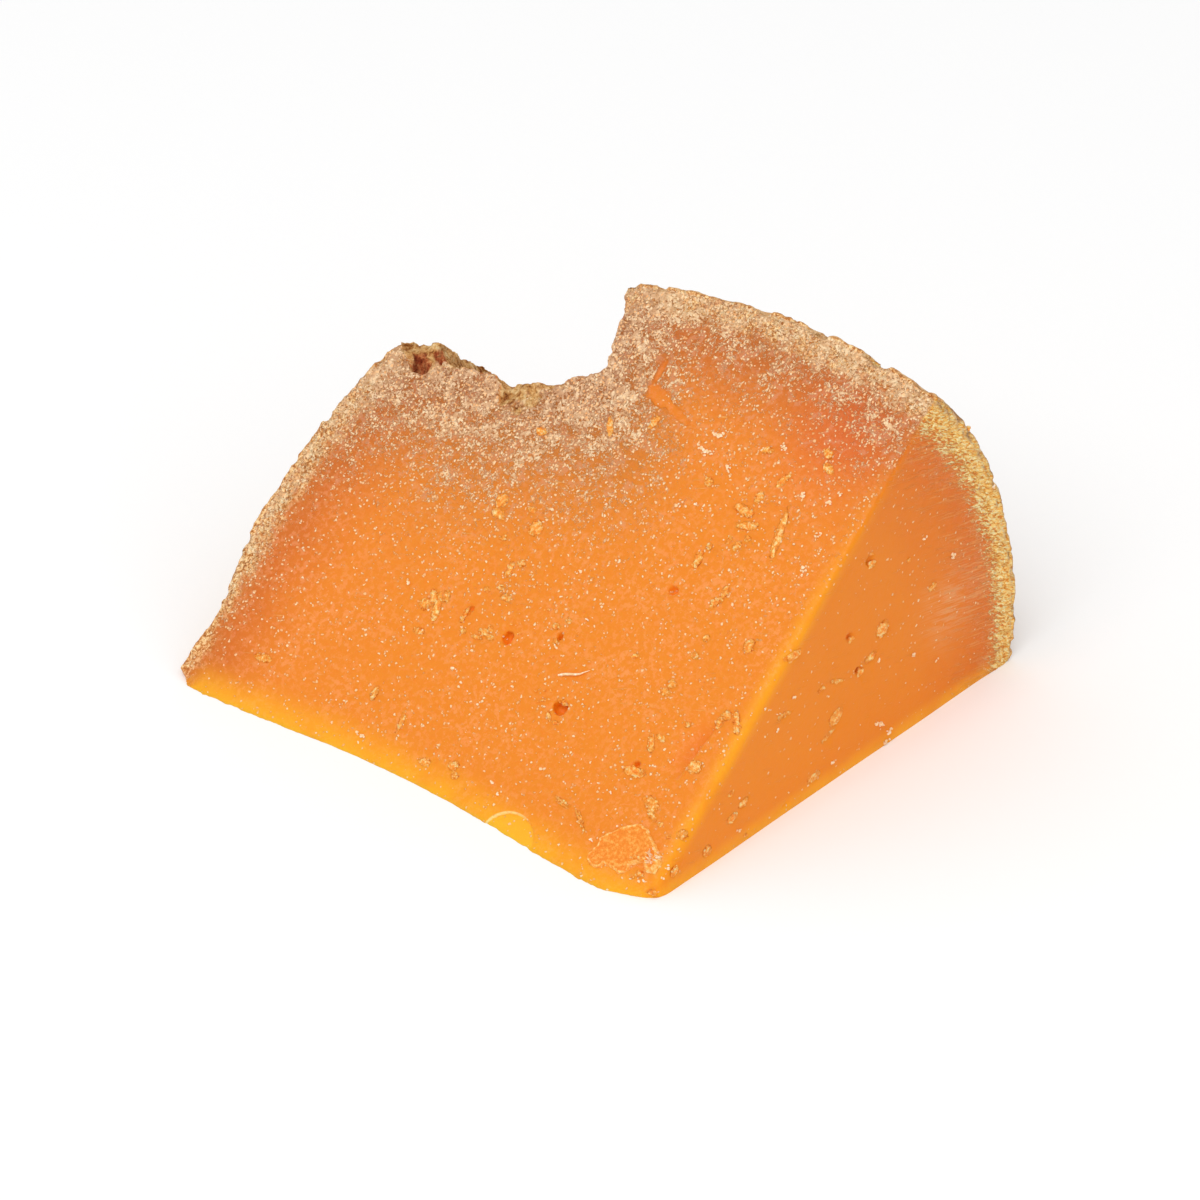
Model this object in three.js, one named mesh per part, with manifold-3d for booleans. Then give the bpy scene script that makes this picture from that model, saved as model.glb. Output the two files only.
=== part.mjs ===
// A wedge cut from a hard, aged ball of orange cheese. Millimetres, +Z up.
//
// The ball's axis runs along X. Two long cuts meet at the axis: one is the flat base, the other
// leans back over it at WEDGE_ANGLE. A third cut, square to the axis, ends the wedge at its +X end,
// and the rind closes it at the back and at the -X end, where the ball's pole is.
// While it is built, the corner where the three cuts meet is at 0, 0, 0.

import * as THREE from 'three';
import { ImprovedNoise } from 'three/addons/math/ImprovedNoise.js';
import { mergeVertices } from 'three/addons/utils/BufferGeometryUtils.js';
import Module from 'manifold-3d';

// The whole ball: a flattened round, steep at its sides and nearly flat at its poles.
const BALL_RADIUS = 94.5;            // from the axis to the equator
const HALF_LENGTH = 75.2;            // from the middle to a pole, along the axis
const AXIAL_POWER = 1.84;           // how round the ball is along its axis
const RADIAL_POWER = 5;             // how square its shoulders are
const POLE_DIMPLE_DEPTH = 2.4;
const POLE_DIMPLE_WIDTH = 20;
const BELLY = 1.5;                  // how far the rind swells midway between the two long cuts
const BALL_DETAIL = 47;             // subdivisions of the icosahedron that the ball starts from

// The rind's own relief.
const LUMP_WIDTH = 27;
const LUMP_HEIGHT = 1;
const LUMP_SHIFT = 66.3;            // which part of the endless noise the lumps are taken from
const PIT_WIDTH = 6.5;
const PIT_DEPTH = 1.6;
const PIT_SHIFT = 11.3;
const PIT_SPARSENESS = 0.1;         // how far the noise has to rise before it makes a pit

// The three cuts.
const WEDGE_ANGLE = THREE.MathUtils.degToRad(40.4);
const CROSS_CUT = 24.8;             // from the ball's middle to the cut square to the axis
const BLOCK_SIZE = 132;             // a little more than the wedge, each way
const GRID_STEP = 4.2;              // spacing of the points that shape the leaning cut
const RIDGE_LAND = 1.3;             // width of the worn flat along the ridge, where the two steep cuts meet

// The leaning cut dips towards its thin front edge, most of all halfway along.
const DISH_DEPTH = 2.0;
const DISH_MIDDLE = -52;
const DISH_HALF_LENGTH = 47;
const DISH_FADE = 25;

const CHEESE_COLOUR = 0xf29448;

const noise = new ImprovedNoise();
const wasm = await Module();
wasm.setup();

const leanBack = new THREE.Matrix4().makeRotationX(WEDGE_ANGLE);

function toSolid(geometry) {
  geometry.deleteAttribute('normal');
  geometry.deleteAttribute('uv');
  const merged = mergeVertices(geometry, 1e-4);
  return new wasm.Manifold(new wasm.Mesh({
    numProp: 3,
    vertProperties: new Float32Array(merged.attributes.position.array),
    triVerts: new Uint32Array(merged.index.array),
  }));
}

function toGeometry(solid) {
  const mesh = solid.getMesh();
  const geometry = new THREE.BufferGeometry();
  geometry.setAttribute('position', new THREE.BufferAttribute(mesh.vertProperties, 3));
  geometry.setIndex(new THREE.BufferAttribute(mesh.triVerts, 1));
  geometry.computeVertexNormals();
  return geometry;
}

// Moves every point of a geometry by the same rule.
function reshape(geometry, rule) {
  const position = geometry.attributes.position;
  const point = new THREE.Vector3();
  for (let i = 0; i < position.count; i += 1) {
    rule(point.fromBufferAttribute(position, i));
    position.setXYZ(i, point.x, point.y, point.z);
  }
  return geometry;
}

function noiseAt(point, width, shift) {
  return noise.noise(point.x / width + shift, point.y / width + shift, point.z / width + shift);
}

// Distance from the ball's middle to its smooth surface, along a unit direction.
function ballReach(direction) {
  const radial = Math.hypot(direction.y, direction.z);
  let inside = 0;
  let outside = 2 * BALL_RADIUS;
  while (outside - inside > 1e-6) {
    const middle = (inside + outside) / 2;
    const level = (middle * Math.abs(direction.x) / HALF_LENGTH) ** AXIAL_POWER
      + (middle * radial / BALL_RADIUS) ** RADIAL_POWER;
    if (level < 1) inside = middle;
    else outside = middle;
  }
  return inside;
}

function ball() {
  const geometry = new THREE.IcosahedronGeometry(1, BALL_DETAIL);
  reshape(geometry, (point) => {
    const direction = point.clone().normalize();
    point.copy(direction).multiplyScalar(ballReach(direction));
    const offAxis = Math.hypot(point.y, point.z) / POLE_DIMPLE_WIDTH;
    const dimple = POLE_DIMPLE_DEPTH * Math.exp(-offAxis * offAxis);
    const swell = BELLY * Math.sin(Math.PI * Math.atan2(point.z, point.y) / WEDGE_ANGLE);
    const lumps = LUMP_HEIGHT * noiseAt(point, LUMP_WIDTH, LUMP_SHIFT);
    const pits = PIT_DEPTH * Math.max(0, noiseAt(point, PIT_WIDTH, PIT_SHIFT) - PIT_SPARSENESS);
    point.addScaledVector(direction, lumps - pits - dimple + Math.max(0, swell));
    point.x -= CROSS_CUT;
  });
  return toSolid(geometry);
}

// How far the leaning cut lies under its plane, at x along the axis and `rise` up the slope.
function dish(x, rise) {
  const along = Math.min(1, Math.abs(x - DISH_MIDDLE) / DISH_HALF_LENGTH);
  return DISH_DEPTH * Math.cos(along * Math.PI / 2) ** 2 * Math.exp(-((rise / DISH_FADE) ** 2));
}

// The space between the base and the leaning cut, as an extrusion along the axis.
function cutBlock() {
  const points = [new THREE.Vector2(0, 0), new THREE.Vector2(BLOCK_SIZE, 0)];
  const rows = Math.round(BLOCK_SIZE / GRID_STEP);
  for (let row = rows; row > 0; row -= 1) {
    const rise = BLOCK_SIZE * row / rows;
    points.push(new THREE.Vector2(rise * Math.cos(WEDGE_ANGLE), rise * Math.sin(WEDGE_ANGLE)));
  }
  const geometry = new THREE.ExtrudeGeometry(new THREE.Shape(points), {
    depth: BLOCK_SIZE,
    steps: rows,
    bevelEnabled: false,
  });
  reshape(geometry, (point) => {
    const x = point.z - BLOCK_SIZE;
    const y = point.x;
    const z = point.y;
    const rise = Math.hypot(y, z);
    const leaning = rise < 1e-6 || Math.abs(Math.atan2(z, y) - WEDGE_ANGLE) < 1e-6;
    const sunk = leaning ? dish(x, rise) : 0;
    const shift = rise < 1e-6 ? sunk / Math.sin(WEDGE_ANGLE) : sunk * Math.sin(WEDGE_ANGLE);
    point.set(x, y + shift, rise < 1e-6 ? z : z - sunk * Math.cos(WEDGE_ANGLE));
  });
  return toSolid(geometry);
}

// A square bar that lies along the ridge, with one side across it, so that cutting it blunts the ridge.
function ridgeBar() {
  const along = new THREE.Vector3(0, Math.cos(WEDGE_ANGLE), Math.sin(WEDGE_ANGLE));
  const out = new THREE.Vector3(1, -Math.sin(WEDGE_ANGLE), Math.cos(WEDGE_ANGLE)).normalize();
  const across = new THREE.Vector3().crossVectors(along, out);
  const bar = new THREE.BoxGeometry(2 * BLOCK_SIZE, 2 * RIDGE_LAND, 4 * RIDGE_LAND);
  bar.translate(0, RIDGE_LAND / 2, 0);
  bar.applyMatrix4(new THREE.Matrix4().makeBasis(along, out, across));
  return toSolid(bar);
}

// A rough rounded lump, `power` 2 for an ellipsoid and more for a boxier one.
function lump({ at, radii, turn = 0, power = 2, detail = 1, roughness = 0, grain = 6 }) {
  const geometry = new THREE.IcosahedronGeometry(1, detail);
  reshape(geometry, (point) => {
    const level = Math.abs(point.x / radii[0]) ** power
      + Math.abs(point.y / radii[1]) ** power
      + Math.abs(point.z / radii[2]) ** power;
    point.multiplyScalar(level ** (-1 / power));
    point.multiplyScalar(1 + roughness * noiseAt(point, grain, at[0]) / radii[1]);
  });
  geometry.rotateZ(turn);
  geometry.translate(at[0], at[1], at[2]);
  return geometry;
}

// Places on the leaning cut are x along the axis, the rise up the slope, and the height above it.
function onLeaningCut(geometry) {
  geometry.computeBoundingBox();
  const place = geometry.boundingBox.getCenter(new THREE.Vector3());
  geometry.translate(0, 0, -dish(place.x, place.y));
  return toSolid(geometry.applyMatrix4(leanBack));
}

// Places on the cross cut are the y and z of the wedge, and the height above it.
function onCrossCut(geometry) {
  const stand = new THREE.Matrix4().makeBasis(
    new THREE.Vector3(0, 1, 0),
    new THREE.Vector3(0, 0, 1),
    new THREE.Vector3(1, 0, 0),
  );
  return toSolid(geometry.applyMatrix4(stand));
}

// The piece missing from the rind's shoulder: a deep bite with a steep side, and a shallow one
// that runs out from it towards the pole.
function shoulderBites() {
  return [
    lump({ at: [-75.2, 86.4, 0.2], radii: [19.6, 17, 35.3], turn: 1.76, power: 5, detail: 15, roughness: 1.5 }),
    lump({ at: [-88.1, 82.5, -2], radii: [17.2, 9.2, 27.2], turn: 1.22, power: 1.9, detail: 12, roughness: 1.5 }),
  ].map(onLeaningCut);
}

// Hollows in the rind where it meets the leaning cut.
function rindHollows() {
  return [
    lump({ at: [-87.2, 64.2, -1.5], radii: [2.9, 1.6, 3.8], turn: 0.1 }),
    lump({ at: [-12.4, 94.0, -1], radii: [2.6, 1.6, 4], turn: 0.1 }),
    lump({ at: [-23.7, 95.0, -1], radii: [1.5, 1.2, 3] }),
  ].map(onLeaningCut);
}

// Eyes and tears on the leaning cut: x, rise, half length, half width, depth, turn.
const LEANING_EYES = [
  [-32.3, 22.5, 1.6, 1.4, 1.8, 0.2],
  [-38.9, 33.0, 1.2, 0.9, 1.3, 0.9],
  [-47.4, 28.7, 1.2, 0.8, 1.0, 0.4],
  [-24.2, 47.5, 0.9, 0.8, 0.9, 0],
  [-13.8, 19.3, 1.5, 0.9, 1.1, -0.4],
  [-62.7, 28.8, 2.2, 0.8, 0.9, 1.2],
  [-55.8, 29.5, 1.1, 0.6, 0.7, 0.8],
  [-44.7, 6.9, 1.2, 0.7, 0.8, 1.3],
  [-20.6, 63.0, 1.7, 1.0, 0.8, 0.9],
  [-17.3, 71.2, 1.6, 0.7, 0.7, 0.7],
  [-11.9, 76.1, 1.7, 0.6, 0.8, 1.5],
  [-52.5, 46.8, 0.9, 0.7, 0.8, 0],
];

// Eyes on the cross cut: y, z, half length, half width, depth, turn.
const CROSS_EYES = [
  [58.6, 22.3, 1.7, 1.0, 1.1, 0.9],
  [54.7, 17.7, 1.5, 0.8, 1.0, 0.9],
  [50.1, 25.2, 1.0, 0.7, 0.9, 0.8],
  [46.7, 11.4, 1.6, 0.7, 0.8, 0.9],
  [55.4, 36.8, 1.0, 0.8, 0.9, 0.3],
  [35.9, 29.7, 1.5, 0.9, 1.1, 0.9],
];

function eyes(list, place) {
  return list.map(([across, up, length, width, depth, turn]) => place(lump({
    at: [across, up, 0.1],
    radii: [length, width, depth],
    turn,
    roughness: 0.3,
    grain: 2,
  })));
}

// Shallow breaks in the leaning cut: a scallop on the thin edge, a tear beside the ridge and a gouge
// below the broken rind.
function breaks() {
  return [
    lump({ at: [-29.6, 2.9, 0.55], radii: [4.5, 1.9, 1.0], turn: -0.1, detail: 2, roughness: 0.3 }),
    lump({ at: [-5.8, 27.0, 0.2], radii: [6.0, 0.6, 1.0], turn: 1.57, roughness: 0.3 }),
    lump({ at: [-41.8, 73.4, 0.3], radii: [5.6, 1.1, 0.9], turn: -0.22, roughness: 0.2 }),
  ].map(onLeaningCut);
}

// The crumbled front corner and the worn tip at the pole, both at the height of the base.
function lostCorners() {
  return [
    lump({ at: [2.7, -5.6, 0], radii: [10, 10, 9], turn: 0.45, power: 5, detail: 4, roughness: 0.9, grain: 3 }),
    lump({ at: [-100.6, -2.2, 0], radii: [4, 4, 5], detail: 3, roughness: 0.6, grain: 3 }),
  ].map(toSolid);
}

// A thin flake that has lifted beside the front corner.
const FLAKE_OUTLINE = [
  [-13.2, 3.2], [-12.6, 6.4], [-8.3, 11.6], [-5.2, 11.8], [-1.9, 8.2], [-2.6, 6.0], [-6.0, 5.2], [-9.6, 3.2],
];
const FLAKE_THICKNESS = 1.7;
const FLAKE_HEIGHT = 0.7;

function flake() {
  const outline = new THREE.Shape(FLAKE_OUTLINE.map(([x, rise]) => new THREE.Vector2(x, rise)));
  const geometry = new THREE.ExtrudeGeometry(outline, { depth: FLAKE_THICKNESS, bevelEnabled: false });
  geometry.translate(0, 0, FLAKE_HEIGHT - FLAKE_THICKNESS);
  return onLeaningCut(geometry);
}

function cheeseWedge() {
  const removed = [
    ridgeBar(),
    ...shoulderBites(),
    ...rindHollows(),
    ...eyes(LEANING_EYES, onLeaningCut),
    ...eyes(CROSS_EYES, onCrossCut),
    ...breaks(),
    ...lostCorners(),
  ];
  const whole = ball().intersect(cutBlock()).add(flake());
  return removed.reduce((solid, tool) => solid.subtract(tool), whole);
}

const geometry = toGeometry(cheeseWedge());
geometry.computeBoundingBox();
const middle = geometry.boundingBox.getCenter(new THREE.Vector3());

const wedge = new THREE.Mesh(
  geometry,
  new THREE.MeshStandardMaterial({ color: CHEESE_COLOUR, roughness: 0.55, metalness: 0 }),
);
wedge.name = 'cheese_wedge';
wedge.position.set(-middle.x, -middle.y, -geometry.boundingBox.min.z);

const part = new THREE.Group();
part.add(wedge);

export default part;
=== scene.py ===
"""A wedge of hard, aged orange cheese, cut from a ball, lying on a pale table.

Sizes are in metres. The frame is the part's own: the base lies at z 0, and the front corner, where
the three cuts meet, is at the box's highest x and lowest y.
"""

import math

import bpy
import numpy as np
from mathutils import Euler, Matrix, Vector, noise


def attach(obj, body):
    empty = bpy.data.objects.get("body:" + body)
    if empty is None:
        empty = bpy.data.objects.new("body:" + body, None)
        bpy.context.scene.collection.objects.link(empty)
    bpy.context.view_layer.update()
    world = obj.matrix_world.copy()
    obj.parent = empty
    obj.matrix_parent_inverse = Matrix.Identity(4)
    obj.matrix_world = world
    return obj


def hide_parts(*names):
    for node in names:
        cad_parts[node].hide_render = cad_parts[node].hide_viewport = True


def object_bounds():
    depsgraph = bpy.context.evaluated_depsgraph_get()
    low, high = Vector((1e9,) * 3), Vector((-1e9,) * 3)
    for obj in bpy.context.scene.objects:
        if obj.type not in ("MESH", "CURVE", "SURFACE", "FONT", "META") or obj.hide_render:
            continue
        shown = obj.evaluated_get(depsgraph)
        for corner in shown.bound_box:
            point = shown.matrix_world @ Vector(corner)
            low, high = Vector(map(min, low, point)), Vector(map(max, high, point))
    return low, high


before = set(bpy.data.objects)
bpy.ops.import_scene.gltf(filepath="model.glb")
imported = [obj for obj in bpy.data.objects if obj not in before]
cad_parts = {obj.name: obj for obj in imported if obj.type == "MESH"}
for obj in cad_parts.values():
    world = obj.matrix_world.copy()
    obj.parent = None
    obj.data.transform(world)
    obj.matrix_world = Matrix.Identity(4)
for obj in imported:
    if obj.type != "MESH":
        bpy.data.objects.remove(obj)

bl_info = {
    "name": "Aged Cheese Wedge",
    "version": (1, 0, 0),
    "blender": (4, 5, 0),
    "location": "View3D > Sidebar > Cheese",
    "description": "Cuts a wedge from a hard, aged ball of orange cheese and lights it on a pale table",
    "category": "Add Mesh",
}

MM = 0.001
BODY = "root"
NODE = "cheese_wedge"
WEDGE = "cheese_wedge_body"
CRUMB = "crumb_pattern"
SMOOTHING_ANGLE = math.radians(55)

CAD_LOW, CAD_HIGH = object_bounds()
CORNER = np.array((CAD_HIGH.x, CAD_LOW.y, CAD_LOW.z))

# The camera looks down at the ridge, turned and tilted as given, from this far off the corner.
CAMERA_FROM_CORNER = Vector((663.549, -790.184, 735.809)) * MM
CAMERA_ELEVATION = math.radians(33.327)
CAMERA_AZIMUTH = math.radians(40.389)
SENSOR_WIDTH = 36.0         # in millimetres, as Blender gives it

# Where the two soft lights hang and how wide they are; both aim at the middle of the wedge.
KEY_AT = (0.25, -0.75, 1.15)
KEY_WIDTH = 0.9
FILL_AT = (1.2, -0.1, 0.5)
FILL_WIDTH = 0.8
LIGHTS_AIM = Vector((0, 0, 0.02))
FLOOR_DROP = 0.02 * MM      # keeps the floor off the wedge's base


def display(red, green, blue):
    """The scene-linear colour of an 8-bit display colour."""
    return tuple(
        (c / 255 / 12.92) if c <= 10 else ((c / 255 + 0.055) / 1.055) ** 2.4
        for c in (red, green, blue)
    )


# ---------------------------------------------------------------------------------- settings

def length(name, description, millimetres):
    """A size that a user can change."""
    return bpy.props.FloatProperty(
        name=name,
        description=description,
        default=millimetres * MM,
        min=0.0,
        precision=5,
        unit="LENGTH",
    )


def colour(name, description, *shade):
    """A colour that a user can change, given as it shows under even light."""
    return bpy.props.FloatVectorProperty(
        name=name,
        description=description,
        default=display(*shade),
        min=0.0,
        max=1.0,
        subtype="COLOR",
    )


class CheeseShape(bpy.types.PropertyGroup):
    """Sizes of the ball, its cuts and their relief."""

    ball_radius: length("Ball radius", "From the ball's axis to its equator", 94.5)
    half_length: length("Half length", "From the ball's middle to a pole, along the axis", 75.2)
    cross_cut: length("Cross cut", "From the ball's middle to the cut square to its axis", 24.8)
    wedge_angle: bpy.props.FloatProperty(
        name="Wedge angle",
        description="Between the base and the leaning cut",
        default=math.radians(40.4),
        subtype="ANGLE",
    )
    belly: length("Belly", "How far the rind swells midway between the two long cuts", 1.5)
    dish_depth: length("Dish depth", "How far the leaning cut dips along its thin edge", 2.0)
    ridge_width: length("Ridge width", "Width of the worn ridge between the two steep cuts", 2.2)
    lump_height: length("Lump height", "Height of the rind's broad lumps", 1.4)
    pit_depth: length("Pit depth", "Depth of the pits in the rind", 1.1)
    crust_thickness: length("Crust thickness", "Depth of the dry crust behind the rind", 4.6)
    fineness: length("Fineness", "Spacing of the points that carry the relief", 0.34)
    triangles: bpy.props.IntProperty(
        name="Triangles",
        description="Triangles left on the wedge once its flat parts are thinned",
        default=192000,
        min=1000,
    )


class CheeseColours(bpy.types.PropertyGroup):
    """Colours of the paste, the crust and the rind."""

    paste: colour("Paste", "The cheese, far from its rind", 234, 135, 32)
    # Painted glow: bright yellow for light through the thin edges, and a painted highlight on the rounded
    # ridge.
    edge: colour("Thin edges", "Where the cheese is thin enough to glow", 255, 182, 24)
    torn: colour("Torn paste", "Freshly torn, rough places", 254, 162, 60)
    hole: colour("Eye", "Inside the eyes", 248, 138, 26)
    crust_ground: colour("Crust ground", "Between the grains of the crust", 162, 94, 42)
    crust_gap: colour("Crust gaps", "Between the crinkles of the crust", 222, 126, 32)
    crust_crest: colour("Crust crests", "The palest crinkles of the crust", 255, 236, 176)
    bloom: colour("Bloom", "Soft pale patches on the leaning cut", 222, 162, 126)
    haze: colour("Haze", "The dulled paste beside the bites", 164, 98, 46)
    rind: colour("Rind", "The outside of the ball", 204, 150, 94)
    rind_dust: colour("Rind dust", "Pale dust on the rind", 232, 190, 140)
    rind_pit: colour("Rind pits", "At the bottom of the rind's pits", 138, 82, 40)
    crystal: colour("Crystals", "White crystals and crumbs", 253, 216, 168)


class CheeseStage(bpy.types.PropertyGroup):
    """The table, the light and the camera."""

    floor_size: bpy.props.FloatProperty(
        name="Floor size", description="Side of the pale floor", default=8.0, unit="LENGTH"
    )
    floor: colour("Floor", "The pale floor", 255, 255, 255)
    sky: bpy.props.FloatProperty(
        name="Sky", description="Strength of the even light from all round", default=0.76, min=0.0
    )
    key: bpy.props.FloatProperty(
        name="Key light", description="Power of the large soft light", default=7.1, unit="POWER"
    )
    fill: bpy.props.FloatProperty(
        name="Fill light", description="Power of the light beside the cross cut", default=0.8, unit="POWER"
    )
    lens: bpy.props.FloatProperty(
        name="Lens", description="Focal length on a 36 mm sensor", default=246.65, unit="CAMERA"
    )


# ------------------------------------------------------------------------ shape of the cheese

AXIAL_POWER = 1.84          # how round the ball is along its axis
RADIAL_POWER = 5.0          # how square its shoulders are
HALVINGS = 40               # steps that close in on the ball's surface
POLE_DIMPLE_DEPTH = 2.4 * MM
POLE_DIMPLE_WIDTH = 20 * MM
DISH_MIDDLE = -52 * MM
DISH_HALF_LENGTH = 47 * MM
DISH_FADE = 25 * MM

# Three bites make the gap in the rind's shoulder: x, rise, height, the three radii, turn and power.
BITES = (
    ((-69.6, 84.4, 0.2), (14.8, 10.0, 35.3), 1.94, 5.0),
    ((-76.9, 86.1, 0.2), (19.4, 15.4, 35.3), 1.76, 5.0),
    ((-88.5, 83.2, -2.0), (17.2, 9.2, 27.2), 1.22, 1.9),
)

# Small hollows in the rim beyond the bites: x, rise, height, the three radii and turn.
HOLLOWS = (
    ((-12.4, 94.0, -1.0), (2.6, 1.6, 4.0), 0.1),
    ((-23.7, 95.0, -1.0), (1.5, 1.2, 3.0), 0.0),
)

# What is lost at the front corner and at the pole: place, the three radii, turn and power.
FRONT_LOSS = ((2.7, -5.6, 0.0), (10.0, 10.0, 9.0), 0.45, 5.0)
POLE_LOSS = ((-100.6, -2.2, 0.0), (4.0, 4.0, 5.0), 0.0, 2.0)

# Lip of the crumbled shoulder, x and rise: behind it the cheese has broken away almost level.
CRUMBLED_LIP = (
    (-94.4, 69.5), (-92.1, 64.0), (-89.6, 62.6), (-88.4, 61.4), (-86.7, 61.8), (-84.1, 62.7),
    (-82.7, 63.9), (-81.4, 65.1), (-80.6, 66.1), (-78.3, 66.9), (-75.7, 66.8), (-73.6, 66.2),
    (-72.0, 64.8), (-70.6, 62.4), (-69.5, 61.5), (-68.0, 61.8), (-66.6, 62.4), (-65.0, 64.4),
    (-63.3, 66.1), (-61.3, 68.3), (-59.9, 69.4), (-59.2, 90.0),
)
SHELF_SLOPE = 0.27          # how far the shelf rises for each step back
SHELF_SLANT = 0.85          # how far along the axis the shelf leans for each step back
SHELF_SLANT_END = 9 * MM    # how far back that lean goes on

# Two deep pits in the shelf: x, distance behind the lip, the two radii and depth.
SHELF_PITS = (
    (-86.8, 2.1, 2.2, 1.7, 3.2),
    (-82.3, 2.3, 1.3, 1.3, 2.6),
)

# The thin shell broken off the lower edge: its middle, x and rise, and its two radii.
SCALLOP = (-29.0, 1.0, 4.9, 4.1)

# The tear beside the ridge: points along its lip, x and rise.
GROOVE_LIP = ((-6.6, 20.5), (-6.4, 24.0), (-6.0, 27.5), (-5.3, 30.5), (-4.2, 32.8))

NEAR_CUT = 3 * MM           # marks on a cut reach no deeper than this
RIND_RELIEF_REACH = 9 * MM  # how far behind the rind its lumps and pits die away
WORN_CORNER = 13 * MM       # how far from the front corner the wedge is rubbed round
SPARE_BELOW = 3 * MM        # kept under the base until the relief is done

# Eyes and cracks of the leaning cut: x, rise, half length, half width, depth and turn, in millimetres.
LEANING_EYES = (
    (-32.1, 22.3, 1.35, 1.20, 1.9, 0.20),
    (-38.6, 32.7, 0.55, 1.00, 1.5, 0.25),
    (-39.3, 33.0, 0.50, 0.30, 0.9, 0.30),
    (-47.2, 28.9, 0.95, 1.25, 1.3, 0.10),
    (-50.2, 30.0, 0.55, 0.28, 0.9, -0.70),
    (-55.9, 30.2, 0.45, 1.40, 0.9, 0.00),
    (-55.7, 31.3, 0.40, 0.35, 1.1, 0.00),
    (-62.5, 27.7, 1.70, 0.26, 0.9, -0.94),
    (-61.9, 30.6, 0.95, 0.26, 0.8, -1.15),
    (-53.5, 38.8, 0.28, 0.80, 0.9, 0.20),
    (-14.3, 20.0, 0.65, 0.60, 1.5, 0.00),
    (-12.9, 20.0, 0.55, 0.28, 0.9, -0.20),
    (-24.1, 36.0, 0.48, 0.30, 1.0, -0.60),
    (-24.4, 47.4, 0.85, 0.80, 1.3, 0.30),
    (-14.7, 23.5, 1.15, 0.25, 0.8, -1.15),
    (-16.1, 33.1, 0.75, 0.20, 0.8, -0.15),
    (-10.0, 36.2, 0.38, 0.20, 0.7, -0.70),
    (-50.4, 43.9, 0.55, 0.42, 0.9, 0.00),
    (-59.7, 47.8, 0.55, 0.35, 0.9, 0.20),
    (-62.4, 47.4, 0.60, 0.22, 0.8, -0.90),
    (-54.6, 50.0, 0.38, 0.22, 0.8, -0.50),
    (-12.3, 76.3, 0.75, 0.26, 0.9, -0.95),
    (-21.0, 62.9, 0.60, 0.30, 0.8, -0.30),
    (-17.9, 60.7, 0.50, 0.20, 0.7, -0.20),
    (-44.2, 7.0, 0.80, 0.28, 0.8, -0.20),
    (-57.4, 10.4, 0.25, 0.70, 0.6, 0.10),
    (-3.4, 31.6, 1.10, 0.24, 0.8, -0.75),
    (-7.6, 6.4, 1.30, 0.30, 0.9, -0.20),
    (-4.4, 6.0, 0.80, 0.50, 0.8, 0.30),
)

# Eyes and cracks of the cross cut: y, z, half length, half width, depth and turn.
CROSS_EYES = (
    (36.0, 30.7, 1.20, 0.55, 1.1, 0.25),
    (54.7, 37.5, 0.95, 0.55, 1.2, 0.50),
    (64.2, 32.8, 0.60, 0.40, 0.9, 0.60),
    (68.2, 34.8, 0.40, 0.25, 0.7, 0.40),
    (70.7, 25.4, 0.80, 0.40, 1.0, 0.10),
    (50.0, 25.4, 0.85, 0.55, 1.2, -0.20),
    (59.9, 22.4, 0.32, 0.95, 0.9, 0.30),
    (57.7, 20.9, 0.50, 0.25, 0.8, -0.20),
    (54.1, 19.4, 0.70, 0.30, 0.9, 0.50),
    (52.3, 18.0, 0.80, 0.50, 1.1, 0.60),
    (47.0, 10.4, 0.65, 0.35, 0.9, 0.60),
    (24.9, 8.1, 0.50, 0.22, 0.7, 0.10),
    (21.5, 5.2, 0.90, 0.22, 0.6, 0.20),
    (34.4, 1.6, 1.10, 0.70, 0.6, 0.00),
    (16.2, 1.9, 0.50, 0.25, 0.6, 0.00),
)

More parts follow.
